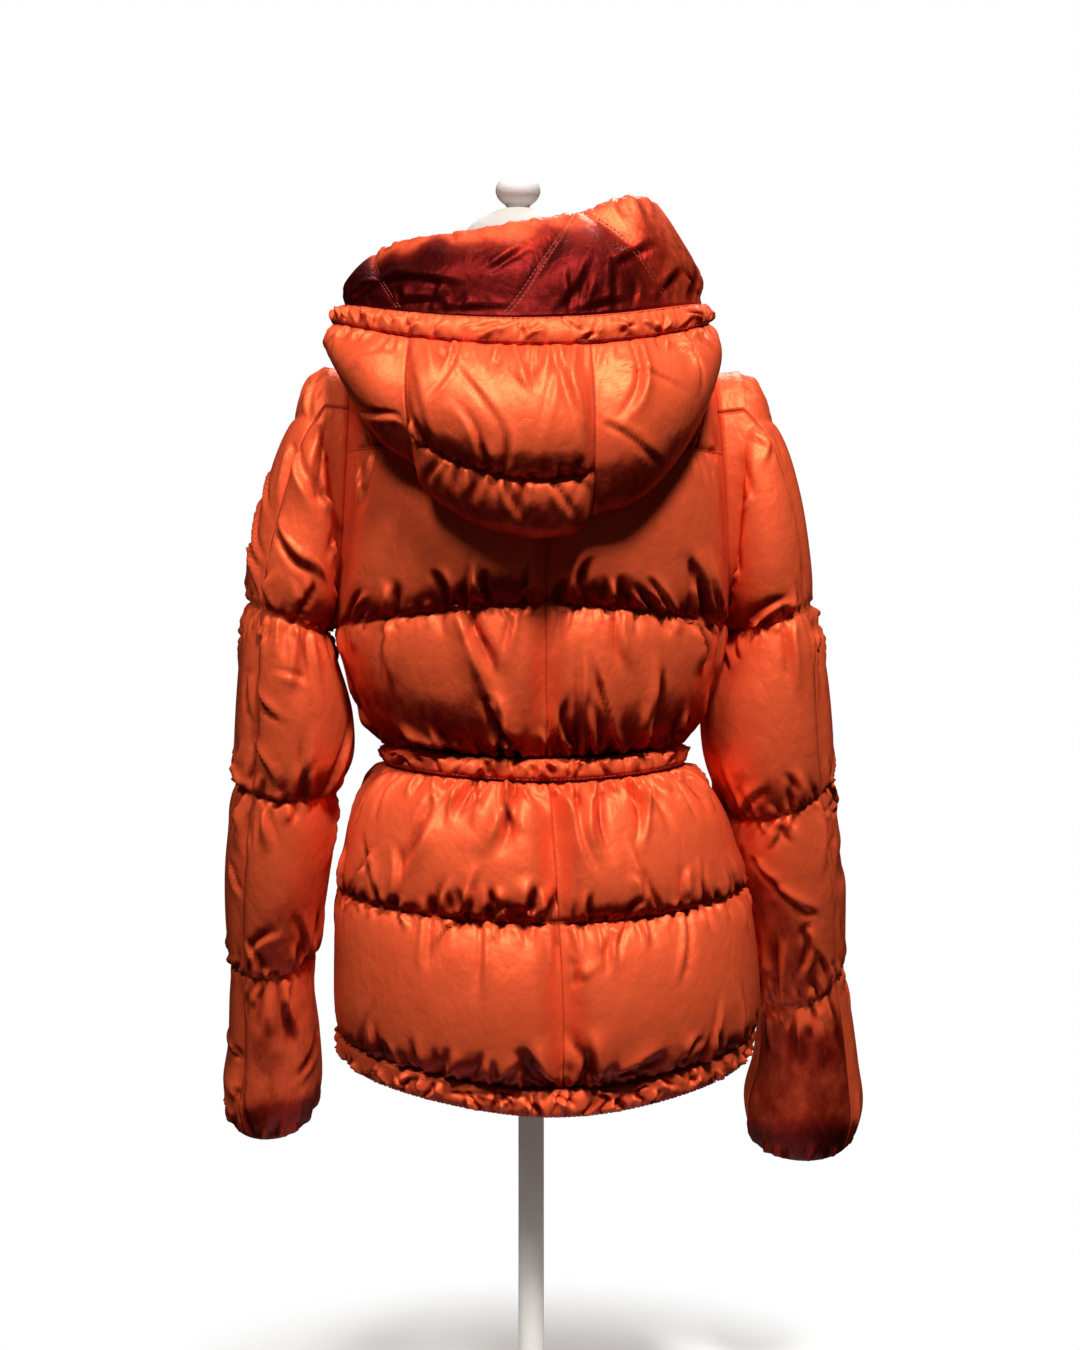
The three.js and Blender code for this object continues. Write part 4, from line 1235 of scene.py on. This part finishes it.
LEFT_FOLDS = Table(
    FOLD_COLUMNS,
    (
        (199, 848, 184, 788, 4.3, 3.1), (201, 795, 173, 741, 3.7, 3.1), (225, 777, 221, 746, 2.5, 2.5),
        (220, 809, 202, 754, 4.3, 2.5), (229, 761, 220, 725, 3.1, 2.5), (183, 906, 180, 867, 3.1, 2.5),
        (210, 837, 216, 788, 3.7, 1.9), (192, 730, 190, 751, 2.5, 2.5), (228, 667, 201, 626, 3.1, 2.2),
        (208, 665, 193, 652, 2.5, 1.6), (243, 599, 224, 570, 3.1, 2.5), (228, 611, 213, 572, 3.7, 2.5),
        (233, 565, 230, 509, 3.1, 2.8), (225, 565, 215, 523, 3.1, 2.5), (240, 560, 240, 535, 2.5, 1.9),
        (248, 504, 238, 474, 3.7, 1.9), (229, 433, 207, 458, 3.7, 2.2), (232, 415, 240, 448, 3.1, 2.2),
        (246, 412, 241, 381, 3.1, 2.2), (231, 399, 230, 379, 3.1, 1.9), (188, 348, 206, 316, 4.3, 2.5),
        (255, 297, 247, 269, 3.7, 2.5), (196, 429, 203, 477, 3.7, 1.9), (225, 712, 225, 697, 2.5, 1.9),
        (200, 712, 198, 697, 2.5, 1.9),
    ),
)
RIGHT_FOLDS = Table(
    FOLD_COLUMNS,
    (
        (-164, 852, -167, 825, 3.1, 3.1), (-157, 837, -164, 796, 3.1, 2.5),
        (-183, 712, -214, 732, 3.7, 2.5), (-215, 714, -210, 730, 2.5, 1.9),
        (-174, 700, -176, 662, 3.1, 2.5), (-238, 702, -235, 661, 3.1, 2.5),
        (-231, 689, -237, 631, 3.1, 1.9), (-210, 491, -245, 459, 3.7, 3.4),
        (-197, 504, -219, 487, 3.1, 2.8), (-184, 502, -203, 456, 3.7, 2.5),
        (-203, 452, -230, 405, 3.7, 2.5), (-237, 449, -234, 403, 3.1, 2.5),
        (-255, 412, -275, 343, 3.7, 2.5), (-248, 388, -259, 311, 3.7, 2.5),
        (-201, 387, -206, 357, 3.1, 2.2), (-217, 379, -222, 352, 2.5, 1.9),
        (-204, 545, -200, 521, 2.5, 2.2), (-216, 547, -225, 525, 2.5, 2.2),
        (-184, 551, -194, 581, 3.7, 2.5), (-224, 564, -211, 597, 3.7, 2.5),
        (-245, 564, -252, 512, 3.1, 2.5), (-254, 521, -260, 451, 3.1, 1.9),
        (-199, 279, -211, 306, 3.7, 1.9), (-195, 870, -184, 837, 3.1, 1.9),
    ),
)


@dataclass
class Sleeve:
    """One sleeve, in a back and a front piece, with its head, three bays and cuff."""

    finish: bpy.types.Material
    table: Table
    hand: int
    armhole_step: float = -0.6
    inner_seam: float = -90.0
    elbow_seam: float = 42.0
    bay_rows: tuple[float, ...] = (5, 9, 13, 17)
    bay_lofts: tuple[float, ...] = (9.5, 8.0, 6.0)
    head_loft: float = 9.0
    top_share: float = 0.4
    # Painted shade on the back piece's cuff, and the share of it that the front piece gets.
    cuff_painted_shade: float = 0.35
    front_painted_shade_share: float = 0.25
    gathers: tuple[float, float, float] = (12.0, 24.0, 2.8)
    lengths: tuple[float, ...] = (8, 190, 150, 165, 160)

    def ring(self, row: Array, angle: Array) -> Array:
        """Return points round the left sleeve, by row of its table and angle from its back."""
        get = {name: self.table.read(name, row) for name in SLEEVE_COLUMNS[1:]}
        reach = stack((get["outX"] - get["inX"]) / 2, 0.0, (get["outZ"] - get["inZ"]) / 2)
        tilt = get["tilt"] * DEG
        depth = stack(0.0, np.cos(tilt) * get["depth"], -np.sin(tilt) * get["depth"])
        centre = stack((get["outX"] + get["inX"]) / 2, get["y"], (get["outZ"] + get["inZ"]) / 2)
        return centre + reach * np.sin(angle)[..., None] + depth * np.cos(angle)[..., None]

    def armhole(self, angle: Array) -> Array:
        """Return the armhole's edge at angles from its back."""
        middle = (TORSO.underarm + TORSO.shoulder_tip) / 2
        half = (TORSO.shoulder_tip - TORSO.underarm) / 2
        z = middle + half * np.sin(angle)
        point = TORSO.point(math.pi / 2 - TORSO.armhole_turn * DEG * np.cos(angle), z)
        return point + np.array([self.armhole_step, 0, 0])

    def panel(self, face: Face, from_seam: float, to_seam: float, seed: int) -> Panel:
        """Cut one piece of the sleeve.

        Args:
            face: The back or the front piece.
            from_seam: Its first seam's angle from the sleeve's back.
            to_seam: Its other seam's angle.
            seed: Start of its seeded folds.

        Returns:
            The panel, not yet sewn.
        """
        marks = np.array((-1, 0) + self.bay_rows, dtype=float)
        stops = shares(self.lengths)

        def row_at(v: Array) -> Array:
            """Return rows of the table at fractions up."""
            return np.interp(v, stops, marks)

        def angle_at(u: Array) -> Array:
            """Return angles at fractions across."""
            gap = TORSO.half_gap / 48
            return lerp(from_seam * DEG + gap, to_seam * DEG - gap, u)

        def at(u: Array, v: Array) -> Array:
            """Return points of the stitched level."""
            row, angle = row_at(v), angle_at(u)
            ring = self.ring(np.maximum(row, 0), angle)
            edge = self.armhole(angle)
            point = lerp(ring, edge, np.clip(-row, 0, 1)[..., None])
            return point * np.array([self.hand, 1, 1])

        def loft(u: Array, v: Array) -> Array:
            """Return how far the filled cloth stands over it."""
            row = row_at(v)
            point = at(u, v)
            x, z = np.abs(point[..., 0]), point[..., 2]
            line = 850 + 30 * smooth((x - 150) / 42)
            under = lerp(702.0, 728.0, smooth((x - 174) / 65))
            over_line = self.top_share * pillow((z - line) / (952 - line), 0.5)
            below_line = pillow((z - under) / (line - under), 0.5)
            head = np.where(z > line, over_line, below_line)
            height = self.head_loft * head * smooth((row + 0.2) / 0.8)
            for low, high, peak in zip(self.bay_rows, self.bay_rows[1:], self.bay_lofts):
                inside = (row > low) & (row <= high)
                height = np.where(inside, peak * sagging(1 - (row - low) / (high - low), 0.5), height)
            return height * drawn_in(np.minimum(u, 1 - u), 0.6, 0.05)

        width, height = extent(at)
        creases = Gathers(seed).beside(width, stops[1:], height, [self.gathers] * (len(stops) - 1))
        side = "left" if self.hand > 0 else "right"
        # Painted shade for this piece's cuff.
        cuff_painted_shade = self.cuff_painted_shade * (1.0 if face is Face.BACK else self.front_painted_shade_share)
        panel = Panel(
            name=f"sleeve_{side}_{face.value}", at=at, loft=loft, sign=self.hand,
            size=(width, height), stops=stops, lines=(0.0, *stops[2:]), creases=creases,
            gather=1.04, finish=self.finish, seed=seed,
            back_of=lambda z: np.minimum(0.0, (z - 620) * 0.24) - 8,
            threads=[across(float(stop)) for stop in stops[2:-1]],
            painted_shade=lambda u, v: cuff_painted_shade * smooth((v - stops[-2]) / 0.06) + 0 * u,
        )
        panel.creases += panel.seen(LEFT_FOLDS if self.hand > 0 else RIGHT_FOLDS)
        return panel

    def panels(self) -> list[Panel]:
        """Return the sleeve's two pieces."""
        return [
            self.panel(Face.BACK, self.inner_seam, self.elbow_seam, 61 + self.hand),
            self.panel(Face.FRONT, self.elbow_seam, self.inner_seam + 360, 65 + self.hand),
        ]


# Hood


POUCH_FOLDS = {
    "hood_centre": (
        ((0.78, 0.02), (0.34, 0.26), 3.0, 1.5), ((0.52, 0.02), (0.26, 0.14), 2.4, 1.2),
        ((0.18, 0.04), (0.32, 0.30), 2.6, 1.1), ((0.92, 0.08), (0.70, 0.36), 2.6, 1.1),
        ((0.40, 0.40), (0.60, 0.24), 3.4, 1.0), ((0.08, 0.30), (0.20, 0.46), 2.8, 0.9),
    ),
    "hood_left": (
        ((0.05, 0.05), (0.20, 0.30), 3.2, 1.2), ((0.20, 0.03), (0.26, 0.26), 3.0, 1.1),
        ((0.03, 0.30), (0.18, 0.46), 3.0, 1.2), ((0.34, 0.04), (0.32, 0.34), 3.0, 1.2),
        ((0.52, 0.05), (0.48, 0.30), 3.0, 1.0), ((0.70, 0.04), (0.62, 0.24), 2.6, 0.9),
    ),
    "hood_right": (
        ((0.95, 0.04), (0.78, 0.24), 3.0, 1.3), ((0.84, 0.02), (0.70, 0.18), 2.6, 1.2),
        ((0.98, 0.18), (0.84, 0.42), 3.0, 1.2), ((0.72, 0.03), (0.62, 0.32), 3.0, 1.2),
        ((0.56, 0.04), (0.54, 0.30), 3.0, 1.0), ((0.40, 0.03), (0.44, 0.22), 2.6, 0.9),
    ),
}


@dataclass
class Hood:
    """The thrown-back hood: brim, casing and three pouch panels."""

    finish: bpy.types.Material
    casing_finish: bpy.types.Material
    seam_left: float = 39.0
    seam_right: float = -16.0
    end: float = 168.0
    peaks: tuple[float, ...] = (-113, -19, 75, 169)
    spread: float = 30.0
    neck_step: float = 1.5
    shoulder_clear: float = 10.0
    casing_top: float = 1.0
    casing_bottom: float = 1.5
    quilt: float = 4.0
    neck_row: float = 11.0
    rows: Table = Table(
        ("v", "backY", "backZ", "sideX", "sideY", "sideZ", "frontX", "frontY", "frontZ", "shift"),
        (
            (0, 96, 1022, 120, 24, 1008, 104, -94, 1002, 12),
            (0.5, 127, 988, 137, 32, 990, 110, -102, 986, 11),
            (1, 148, 947, 147, 42, 971, 108, -100, 970, 10),
            (1.5, 156, 925, 153, 48, 956, 104, -96, 954, 12),
            (2, 172, 893, 157, 54, 946, 100, -94, 947, 13),
            (3, 180, 856, 157, 58, 940, 95, -92, 941, 13),
            (4, 175, 822, 154, 61, 936, 91, -90, 936, 12),
            (5, 156, 790, 149, 61, 933, 88, -88, 931, 10),
            (6, 138, 800, 141, 57, 934, 85, -86, 927, 7),
            (7, 134, 842, 128, 50, 940, 82, -84, 923, 4),
            (8, 121, 896, 110, 40, 951, 78, -82, 920, 2),
            (9, 98, 942, 92, 27, 962, 75, -80, 917, 1),
            (10, 77, 958, 79, 14, 968, 72, -78, 914.5, 0),
        ),
    )
    brim_folds: tuple[tuple, ...] = (
        ((0.66, 0.93), (0.58, 0.80), 3.0, 2.6), ((0.60, 0.95), (0.50, 0.90), 3.0, 2.2),
        ((0.72, 0.88), (0.66, 0.62), 3.8, 2.6), ((0.69, 0.70), (0.61, 0.55), 3.8, 2.2),
        ((0.64, 0.60), (0.56, 0.72), 3.0, 1.9), ((0.54, 0.55), (0.50, 0.30), 4.5, 1.9),
        ((0.47, 0.95), (0.40, 0.86), 3.0, 2.2), ((0.42, 0.60), (0.36, 0.45), 3.8, 2.2),
        ((0.38, 0.90), (0.33, 0.60), 3.8, 2.6), ((0.30, 0.92), (0.34, 0.70), 3.0, 2.2),
        ((0.22, 0.85), (0.27, 0.60), 3.8, 2.2), ((0.12, 0.90), (0.17, 0.55), 3.8, 2.2),
        ((0.85, 0.90), (0.80, 0.55), 3.8, 2.2), ((0.92, 0.80), (0.88, 0.50), 3.8, 2.2),
    )
    lift: Table = Table(
        ("angle", "lift"),
        (
            (-180, 0), (-110, -8), (-72, 10), (-47, 34), (-19, 17),
            (22, 0), (78, 4), (110, -8), (180, 0),
        ),
    )

    def point(self, angle: Array, v: Array) -> Array:
        """Return points of the hood's stitched level, by angle from the centre back and row."""
        s, c = np.sin(angle), np.cos(angle)
        get = {name: self.rows.read(name, v) for name in self.rows.columns[1:]}
        part = np.abs(c)
        width = np.where(c > 0, get["sideX"], lerp(get["sideX"], get["frontX"], smooth(part)))
        x = width * s + get["shift"]
        y = lerp(get["sideY"], np.where(c > 0, get["backY"], get["frontY"]), part)
        lift = self.lift.read("lift", angle / DEG) * smooth(1 - v / 1.2)
        sway = np.where(v < self.quilt, 4 * s * (1 - v / self.quilt), 0.0)
        deep = np.where(c > 0, get["backZ"], get["frontZ"])
        free = lerp(get["sideZ"], deep, part**1.5) + lift - sway
        laid = TORSO.shoulder(x, y, YOKE_QUILT.z, NECK.z)
        laid = laid + self.shoulder_clear * smooth((self.neck_row - v) / 2)
        neckline = TORSO.point(angle, NECK.height(angle)) + np.array([0, 0, self.neck_step])
        blend = np.clip(v - self.neck_row + 1, 0, 1)[..., None]
        return lerp(stack(x, y, np.maximum(free, laid)), neckline, blend)

    def panel(
        self, name: str, angles: tuple[float, float], marks: Sequence[float], lengths: Sequence[float],
        loft: Callable[[Array, Array, Array], Array], finish: bpy.types.Material,
        **settings: object,
    ) -> Panel:
        """Cut one piece of the hood.

        Args:
            name: Its node.
            angles: Its two ends, in degrees from the centre back.
            marks: Table rows from its first edge to its last.
            lengths: Lengths of cloth between each two of them.
            loft: Loft from the angle in degrees, the table row and the fraction across.
            finish: Its cloth.
            **settings: Other settings of the panel.

        Returns:
            The panel, not yet sewn.
        """
        gap = TORSO.half_gap / 120
        trim = TORSO.half_gap / 20
        rows = np.array(marks, dtype=float)
        rows[0] += trim if rows[0] > 0 else 0
        rows[-1] -= trim if rows[-1] < self.neck_row else 0
        stops = shares(lengths)

        def row_at(v: Array) -> Array:
            """Return rows of the table at fractions up."""
            return np.interp(v, stops, rows)

        def angle_at(u: Array) -> Array:
            """Return angles at fractions across."""
            return lerp(angles[0] * DEG + gap, angles[1] * DEG - gap, u)

        def at(u: Array, v: Array) -> Array:
            """Return points of the stitched level."""
            return self.point(angle_at(u), row_at(v))

        def raised(u: Array, v: Array) -> Array:
            """Return the loft at fractions across and up."""
            return loft(angle_at(u) / DEG, row_at(v), u)

        width, _ = extent(lambda u, v: at(u, 0.3 * v))
        return Panel(
            name=name, at=at, loft=raised, sign=1, size=(width, float(sum(lengths))), stops=stops,
            finish=finish, **settings,
        )

    def brim_distance(self, angle: Array, row: Array) -> Array:
        """Return the distance to the nearest stitched zigzag leg, in degrees across."""
        down = row / self.casing_top
        legs = [np.abs(np.abs(angle - peak) - self.spread * down) for peak in self.peaks]
        return np.min(legs, axis=0)

    def brim_loft(self, angle: Array, row: Array, u: Array) -> Array:
        """Return the loft of the brim between its zigzag lines, with a rounded edge."""
        down = row / self.casing_top
        near = np.minimum(self.brim_distance(angle, row) / self.spread, 1)
        edge = lerp(0.05, 1, 1 - smooth((down - 0.55) / 0.45))
        rounding = np.clip(down / 0.1, 0, 1) ** 0.5
        return (1.8 + 10.5 * near**0.45) * edge * rounding

    def brim_painted_shade(self, u: Array, v: Array) -> Array:
        """Return the painted shade on the brim, with a painted shadow low on its left part."""
        angle = lerp(-self.end, self.end, u)
        left = smooth((angle + 62) / 62) * smooth((165 - angle) / 60)
        edge = 0.18 + 0.06 * np.sin(angle / 7) + 0.05 * np.sin(angle / 3.1)
        return 0.34 + lerp(0.20, 1.15, left) * smooth((v - edge) / 0.45) ** 0.7

    def zigzag(self) -> list[Run]:
        """Return the brim's two rows of stitches along each leg of its zigzag."""

        def leg(peak: float, side: float, step: float) -> Run:
            """Return one row of stitches along a leg of the zigzag."""
            def run(t: Array) -> tuple[Array, Array]:
                """Return its fractions across and up."""
                down = 0.03 + 0.94 * t
                angle = peak + side * self.spread * down + step
                return np.clip((angle + self.end) / (2 * self.end), 0.001, 0.999), down

            return run

        return [
            leg(peak, side, step) for peak in self.peaks for side in (-1, 1) for step in (-0.9, 0.9)
            if abs(peak + side * self.spread) < self.end
        ]

    def pouch_loft(self, quilted: bool) -> Callable[[Array, Array, Array], Array]:
        """Return the loft of a pouch panel.

        Args:
            quilted: Whether a stitched line crosses it.

        Returns:
            The loft by angle in degrees, table row and fraction across.
        """

        def loft(angle: Array, row: Array, u: Array) -> Array:
            """Return how far the filled cloth stands over it."""
            seam = drawn_in(np.minimum(u, 1 - u), 0.8, 0.06)
            facing = np.clip(np.cos(angle * DEG), 0, 1) ** 0.5
            upper = pillow((row - self.casing_bottom) / (self.quilt - self.casing_bottom), 0.5)
            lower = 0.8 * pillow((row - self.quilt) / 2, 0.5)
            whole = pillow((row - self.casing_bottom) / (6 - self.casing_bottom), 0.5)
            shape = np.where(row < self.quilt, upper, lower) if quilted else whole
            return np.where(row > 6, 0.0, 15 * shape * seam * facing)

        return loft

    def panels(self) -> list[Panel]:
        """Return the hood's five pieces."""
        top, bottom, quilt, neck = self.casing_top, self.casing_bottom, self.quilt, self.neck_row
        gathers = Gathers(81)
        folds = gathers.along(620.0, 0.0, 92.0, True, pitch=20.0, length=14.0, depth=1.6)
        folds += gathers.along(620.0, 1.0, 92.0, False, pitch=12.0, length=22.0, depth=2.6)
        folds += [Crease(*fold) for fold in self.brim_folds]
        made = [
            self.panel(
                "hood_brim", (-self.end, self.end), (0, top), (92,), self.brim_loft, self.finish,
                creases=folds, gather=1.03, seed=81, painted_shade=self.brim_painted_shade, threads=self.zigzag(),
            ),
            self.panel(
                "hood_casing", (-self.end, self.end), (top, bottom), (24,),
                lambda angle, row, u: 6.0 * pillow((row - top) / (bottom - top), 0.4),
                self.casing_finish, creases=Gathers(82).crumpled(760.0, 24.0, pitch=9.0, depth=2.2),
                cell=1.6, pucker=0.5, fill=0.3, seed=82, threads=[across(0.05), across(0.95)],
            ),
        ]
        pieces = (
            ("hood_centre", self.seam_right, self.seam_left, True, 83),
            ("hood_left", self.seam_left, self.end, False, 84),
            ("hood_right", -self.end, self.seam_right, False, 85),
        )
        for name, start, stop, quilted, seed in pieces:
            width = 150.0 if quilted else 300.0
            gathers = Gathers(seed)
            folds = gathers.along(width, 0.0, 330.0, True, pitch=13.0, length=30.0, depth=3.2)
            if quilted:
                folds += gathers.along(width, 0.33, 330.0, True, pitch=15.0, length=20.0, depth=2.6)
                folds += gathers.along(width, 0.33, 330.0, False, pitch=15.0, length=22.0, depth=2.6)
            folds += [Crease(*fold) for fold in POUCH_FOLDS[name]]
            made.append(self.panel(
                name, (start, stop), (bottom, quilt, 6, neck), (108, 60, 160), self.pouch_loft(quilted),
                self.finish, lines=(0.0, 108 / 328, 1.0) if quilted else (0.0, 1.0),
                creases=folds, gather=1.04, seed=seed,
                threads=[across(108 / 328), upward(0.012, 0.5), upward(0.988, 0.5)] if quilted else [],
            ))
        return made


# Zip, form and studio


def linked(name: str, shape: bmesh.types.BMesh) -> bpy.types.Object:
    """Return a shape's new object, linked to the scene, and free the shape."""
    mesh = bpy.data.meshes.new(name)
    shape.to_mesh(mesh)
    shape.free()
    thing = bpy.data.objects.new(name, mesh)
    bpy.context.scene.collection.objects.link(thing)
    return thing


def copy_node(node: str, name: str) -> bpy.types.Object:
    """Return a merged copy of a CAD node, linked to the scene."""
    mesh = bpy.data.objects[node].data.copy()
    shape = bmesh.new()
    shape.from_mesh(mesh)
    bmesh.ops.remove_doubles(shape, verts=shape.verts, dist=1e-6)
    shape.to_mesh(mesh)
    shape.free()
    thing = bpy.data.objects.new(name, mesh)
    bpy.context.scene.collection.objects.link(thing)
    return thing


def dress(
    thing: bpy.types.Object, material: bpy.types.Material, smooth_faces: bool = True,
    node: str = "", body: str = JACKET,
) -> None:
    """Give an object its one material and its body, and hide the CAD node that it stands for.

    Args:
        thing: The object.
        material: Its finish.
        smooth_faces: Whether light runs smoothly over its faces.
        node: The CAD node that it replaces, if any.
        body: The body that it rides on.
    """
    thing.data.materials.clear()
    thing.data.materials.append(material)
    thing.data.polygons.foreach_set("use_smooth", [smooth_faces] * len(thing.data.polygons))
    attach(thing, body)
    if node:
        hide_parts(node)


def rounded(thing: bpy.types.Object, width: float, least_angle: float = 30.0) -> None:
    """Round an object's edges by a width in millimetres where they turn by more than an angle."""
    bevel = thing.modifiers.new("Rounded", "BEVEL")
    bevel.width = width * MM
    bevel.segments = 2
    bevel.limit_method = "ANGLE"
    bevel.angle_limit = least_angle * DEG


@dataclass
class FrontZip:
    """The two tapes with their teeth, the slider and its pull tab."""

    tape: bpy.types.Material
    metal: bpy.types.Material
    pitch: float = 2.6
    tooth: tuple[float, float, float] = (3.4, 1.9, 1.3)
    tape_cut: tuple[float, float] = (0.010, 0.590)
    tape_area: float = 0.0051
    worn_edge: float = 0.25

    def build(self) -> None:
        """Dress the CAD tapes, slider and tab and add the teeth."""
        for side in ("left", "right"):
            tape = copy_node(f"zip_tape_{side}", f"zip_tape_{side}_woven")
            dress(tape, self.tape, False, f"zip_tape_{side}")
        for node, body in (("zip_slider", JACKET), ("zip_pull_tab", PULL_TAB)):
            thing = copy_node(node, node + "_metal")
            rounded(thing, self.worn_edge)
            dress(thing, self.metal, False, node, body)
        for hand in (1, -1):
            self.teeth(hand)

    def teeth(self, hand: int) -> None:
        """Set one side's row of teeth on its tape.

        Args:
            hand: 1 on the wearer's left, -1 on the right.
        """
        bottom, top = HEM_BOTTOM.z + 2, NECK.z + NECK.front - 4
        row = bmesh.new()
        z = bottom + (self.pitch / 2 if hand < 0 else 0)
        while z < top:
            spot = TORSO.point(np.array([math.pi, math.pi]), np.array([z - 1, z + 1]))
            slope = math.atan2(spot[1, 1] - spot[0, 1], 2.0)
            where = Matrix.Translation(Vector((hand * 1.2, float(spot[0, 1]) - 0.05, z)) * MM)
            turn = Matrix.Rotation(-slope, 4, "X")
            size = Matrix.Diagonal((*(MM * part for part in self.tooth), 1.0))
            bmesh.ops.create_cube(row, size=1.0, matrix=where @ turn @ size)
            z += self.pitch
        dress(linked(f"zip_teeth_{'left' if hand > 0 else 'right'}", row), self.metal, False)


@dataclass
class DressForm:
    """The limbless form: torso, neck cap, knob, pole and base."""

    cloth: bpy.types.Material
    enamel: bpy.types.Material
    edge: float = 1.2
    edge_angle: float = 50.0

    def build(self) -> None:
        """Make the form's pieces smooth and dress them."""
        pieces = (
            ("form_torso", self.cloth, 1),
            ("form_neck_cap", self.cloth, 2),
            ("form_knob", self.enamel, 2),
            ("form_pole", self.enamel, 0),
            ("form_base", self.enamel, 0),
        )
        for node, material, levels in pieces:
            thing = copy_node(node, node + "_dressed")
            if levels:
                finer = thing.modifiers.new("Finer", "SUBSURF")
                finer.levels = finer.render_levels = levels
            else:
                rounded(thing, self.edge, self.edge_angle)
            dress(thing, material, node=node)


@dataclass
class Studio:
    """Pale floor, soft studio light and the camera."""

    camera_place: Colour = (0.178, 1.691, 0.730)
    aim: tuple[float, float, float] = (-0.00765, 0.0, 0.666)
    lens: float = 53.33
    middle: tuple[float, float, float] = (0.0, 0.0, 0.7)
    lamp: Colour = (1.0, 0.97, 0.94)
    boxes: tuple[tuple, ...] = (
        ("key_box", (-0.5, 2.8, 4.9), 0.8, 325.0),
        ("side_box", (1.6, 2.6, 4.2), 0.9, 105.0),
        ("front_box", (-1.2, -3.0, 5.0), 1.4, 230.0),
    )
    ambient: Colour = (1.0, 0.72, 0.62)
    ambient_strength: float = 0.03
    floor_radius: float = 0.45
    floor_fade: tuple[float, float] = (0.2, 0.44)

    def aimed(self, thing: bpy.types.Object, place: Sequence[float], aim: Sequence[float]) -> None:
        """Set a lamp or camera at a place, turned to its aim, and link it."""
        thing.location = place
        thing.rotation_euler = (Vector(aim) - Vector(place)).to_track_quat("-Z", "Y").to_euler()
        bpy.context.scene.collection.objects.link(thing)

    def area(self, name: str, place: Sequence[float], size: float, power: float) -> None:
        """Hang a square soft box of a size in metres and a power in watts, facing the jacket."""
        light = bpy.data.lights.new(name, "AREA")
        light.shape = "SQUARE"
        light.size = size
        light.energy = power
        light.color = self.lamp
        self.aimed(bpy.data.objects.new(name, light), place, self.middle)

    def build(self) -> None:
        """Set up the studio."""
        for box in self.boxes:
            self.area(*box)
        world = bpy.data.worlds.new("studio")
        world.use_nodes = True
        tree = world.node_tree
        ground = tree.nodes["Background"]
        ground.inputs[0].default_value = (*self.ambient, 1.0)
        ground.inputs[1].default_value = self.ambient_strength
        white = tree.nodes.new("ShaderNodeBackground")
        white.inputs[0].default_value = (1.0, 1.0, 1.0, 1.0)
        white.inputs[1].default_value = 1.0
        path = tree.nodes.new("ShaderNodeLightPath")
        mix = tree.nodes.new("ShaderNodeMixShader")
        tree.links.new(path.outputs["Is Camera Ray"], mix.inputs[0])
        tree.links.new(ground.outputs[0], mix.inputs[1])
        tree.links.new(white.outputs[0], mix.inputs[2])
        tree.links.new(mix.outputs[0], tree.nodes["World Output"].inputs[0])
        bpy.context.scene.world = world
        bpy.context.scene.view_settings.view_transform = "Standard"
        self.floor()
        self.camera()

    def floor(self) -> None:
        """Lay the pale floor."""
        shape = bmesh.new()
        bmesh.ops.create_circle(shape, cap_ends=True, segments=64, radius=self.floor_radius)
        floor = linked("floor", shape)
        nodes = Nodes.new("pale_floor")
        place = nodes.place()
        cloud = nodes.noise(place, 3.0)
        colour = nodes.mix(cloud, (0.82, 0.82, 0.82), (0.78, 0.78, 0.78))
        reach = nodes.signal("ShaderNodeVectorMath", 1, {0: place}, operation="LENGTH")
        alpha = 1.0 - reach.ramp(*self.floor_fade)
        floor.data.materials.append(nodes.finish(Base_Color=colour, Roughness=0.9, Alpha=alpha))
        floor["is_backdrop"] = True

    def camera(self) -> None:
        """Set the camera at the photograph's place."""
        data = bpy.data.cameras.new("camera")
        data.lens = self.lens
        data.sensor_width = 36.0
        data.sensor_fit = "AUTO"
        camera = bpy.data.objects.new("camera", data)
        self.aimed(camera, self.camera_place, self.aim)
        bpy.context.scene.camera = camera


def write_sizes() -> None:
    """Work out the CAD box and the dressed jacket's box, without keeping them."""
    ends = {"cad": CAD_BOX, "visual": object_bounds()}
    boxes = {name: [list(map(float, end)) for end in box] for name, box in ends.items()}


def main() -> None:
    """Build the jacket's sub-assemblies in order."""
    logging.basicConfig(level=logging.INFO, format="%(message)s")
    satin = SatinFinish("shell_satin").material()
    casing_satin = SatinFinish("casing_satin", roughness=0.52).material()
    sewing = Sewing()
    sewing.panels += BodyPanels(satin).panels()
    sewing.panels += Casings(casing_satin).panels()
    sewing.panels += Sleeve(satin, SLEEVE_LEFT, 1).panels()
    sewing.panels += Sleeve(satin, SLEEVE_RIGHT, -1, cuff_painted_shade=0.62).panels()
    sewing.panels += Hood(satin, casing_satin).panels()
    LOG.info("cut %d panels", len(sewing.panels))
    stitching = Stitching(ThreadFinish("sewing_thread", (0.34, 0.030, 0.014)).material())
    for panel in sewing.panels:
        piece = sewing.piece(panel)
        stitching.sew(panel)
        LOG.info("%s: %d faces", piece.name, len(piece.data.polygons))
    FrontZip(ThreadFinish("zip_tape", (0.30, 0.045, 0.018)).material(), ZipMetalFinish().material()).build()
    DressForm(FormClothFinish().material(), EnamelFinish().material()).build()
    Studio().build()
    write_sizes()


if __name__ == "__main__":
    main()
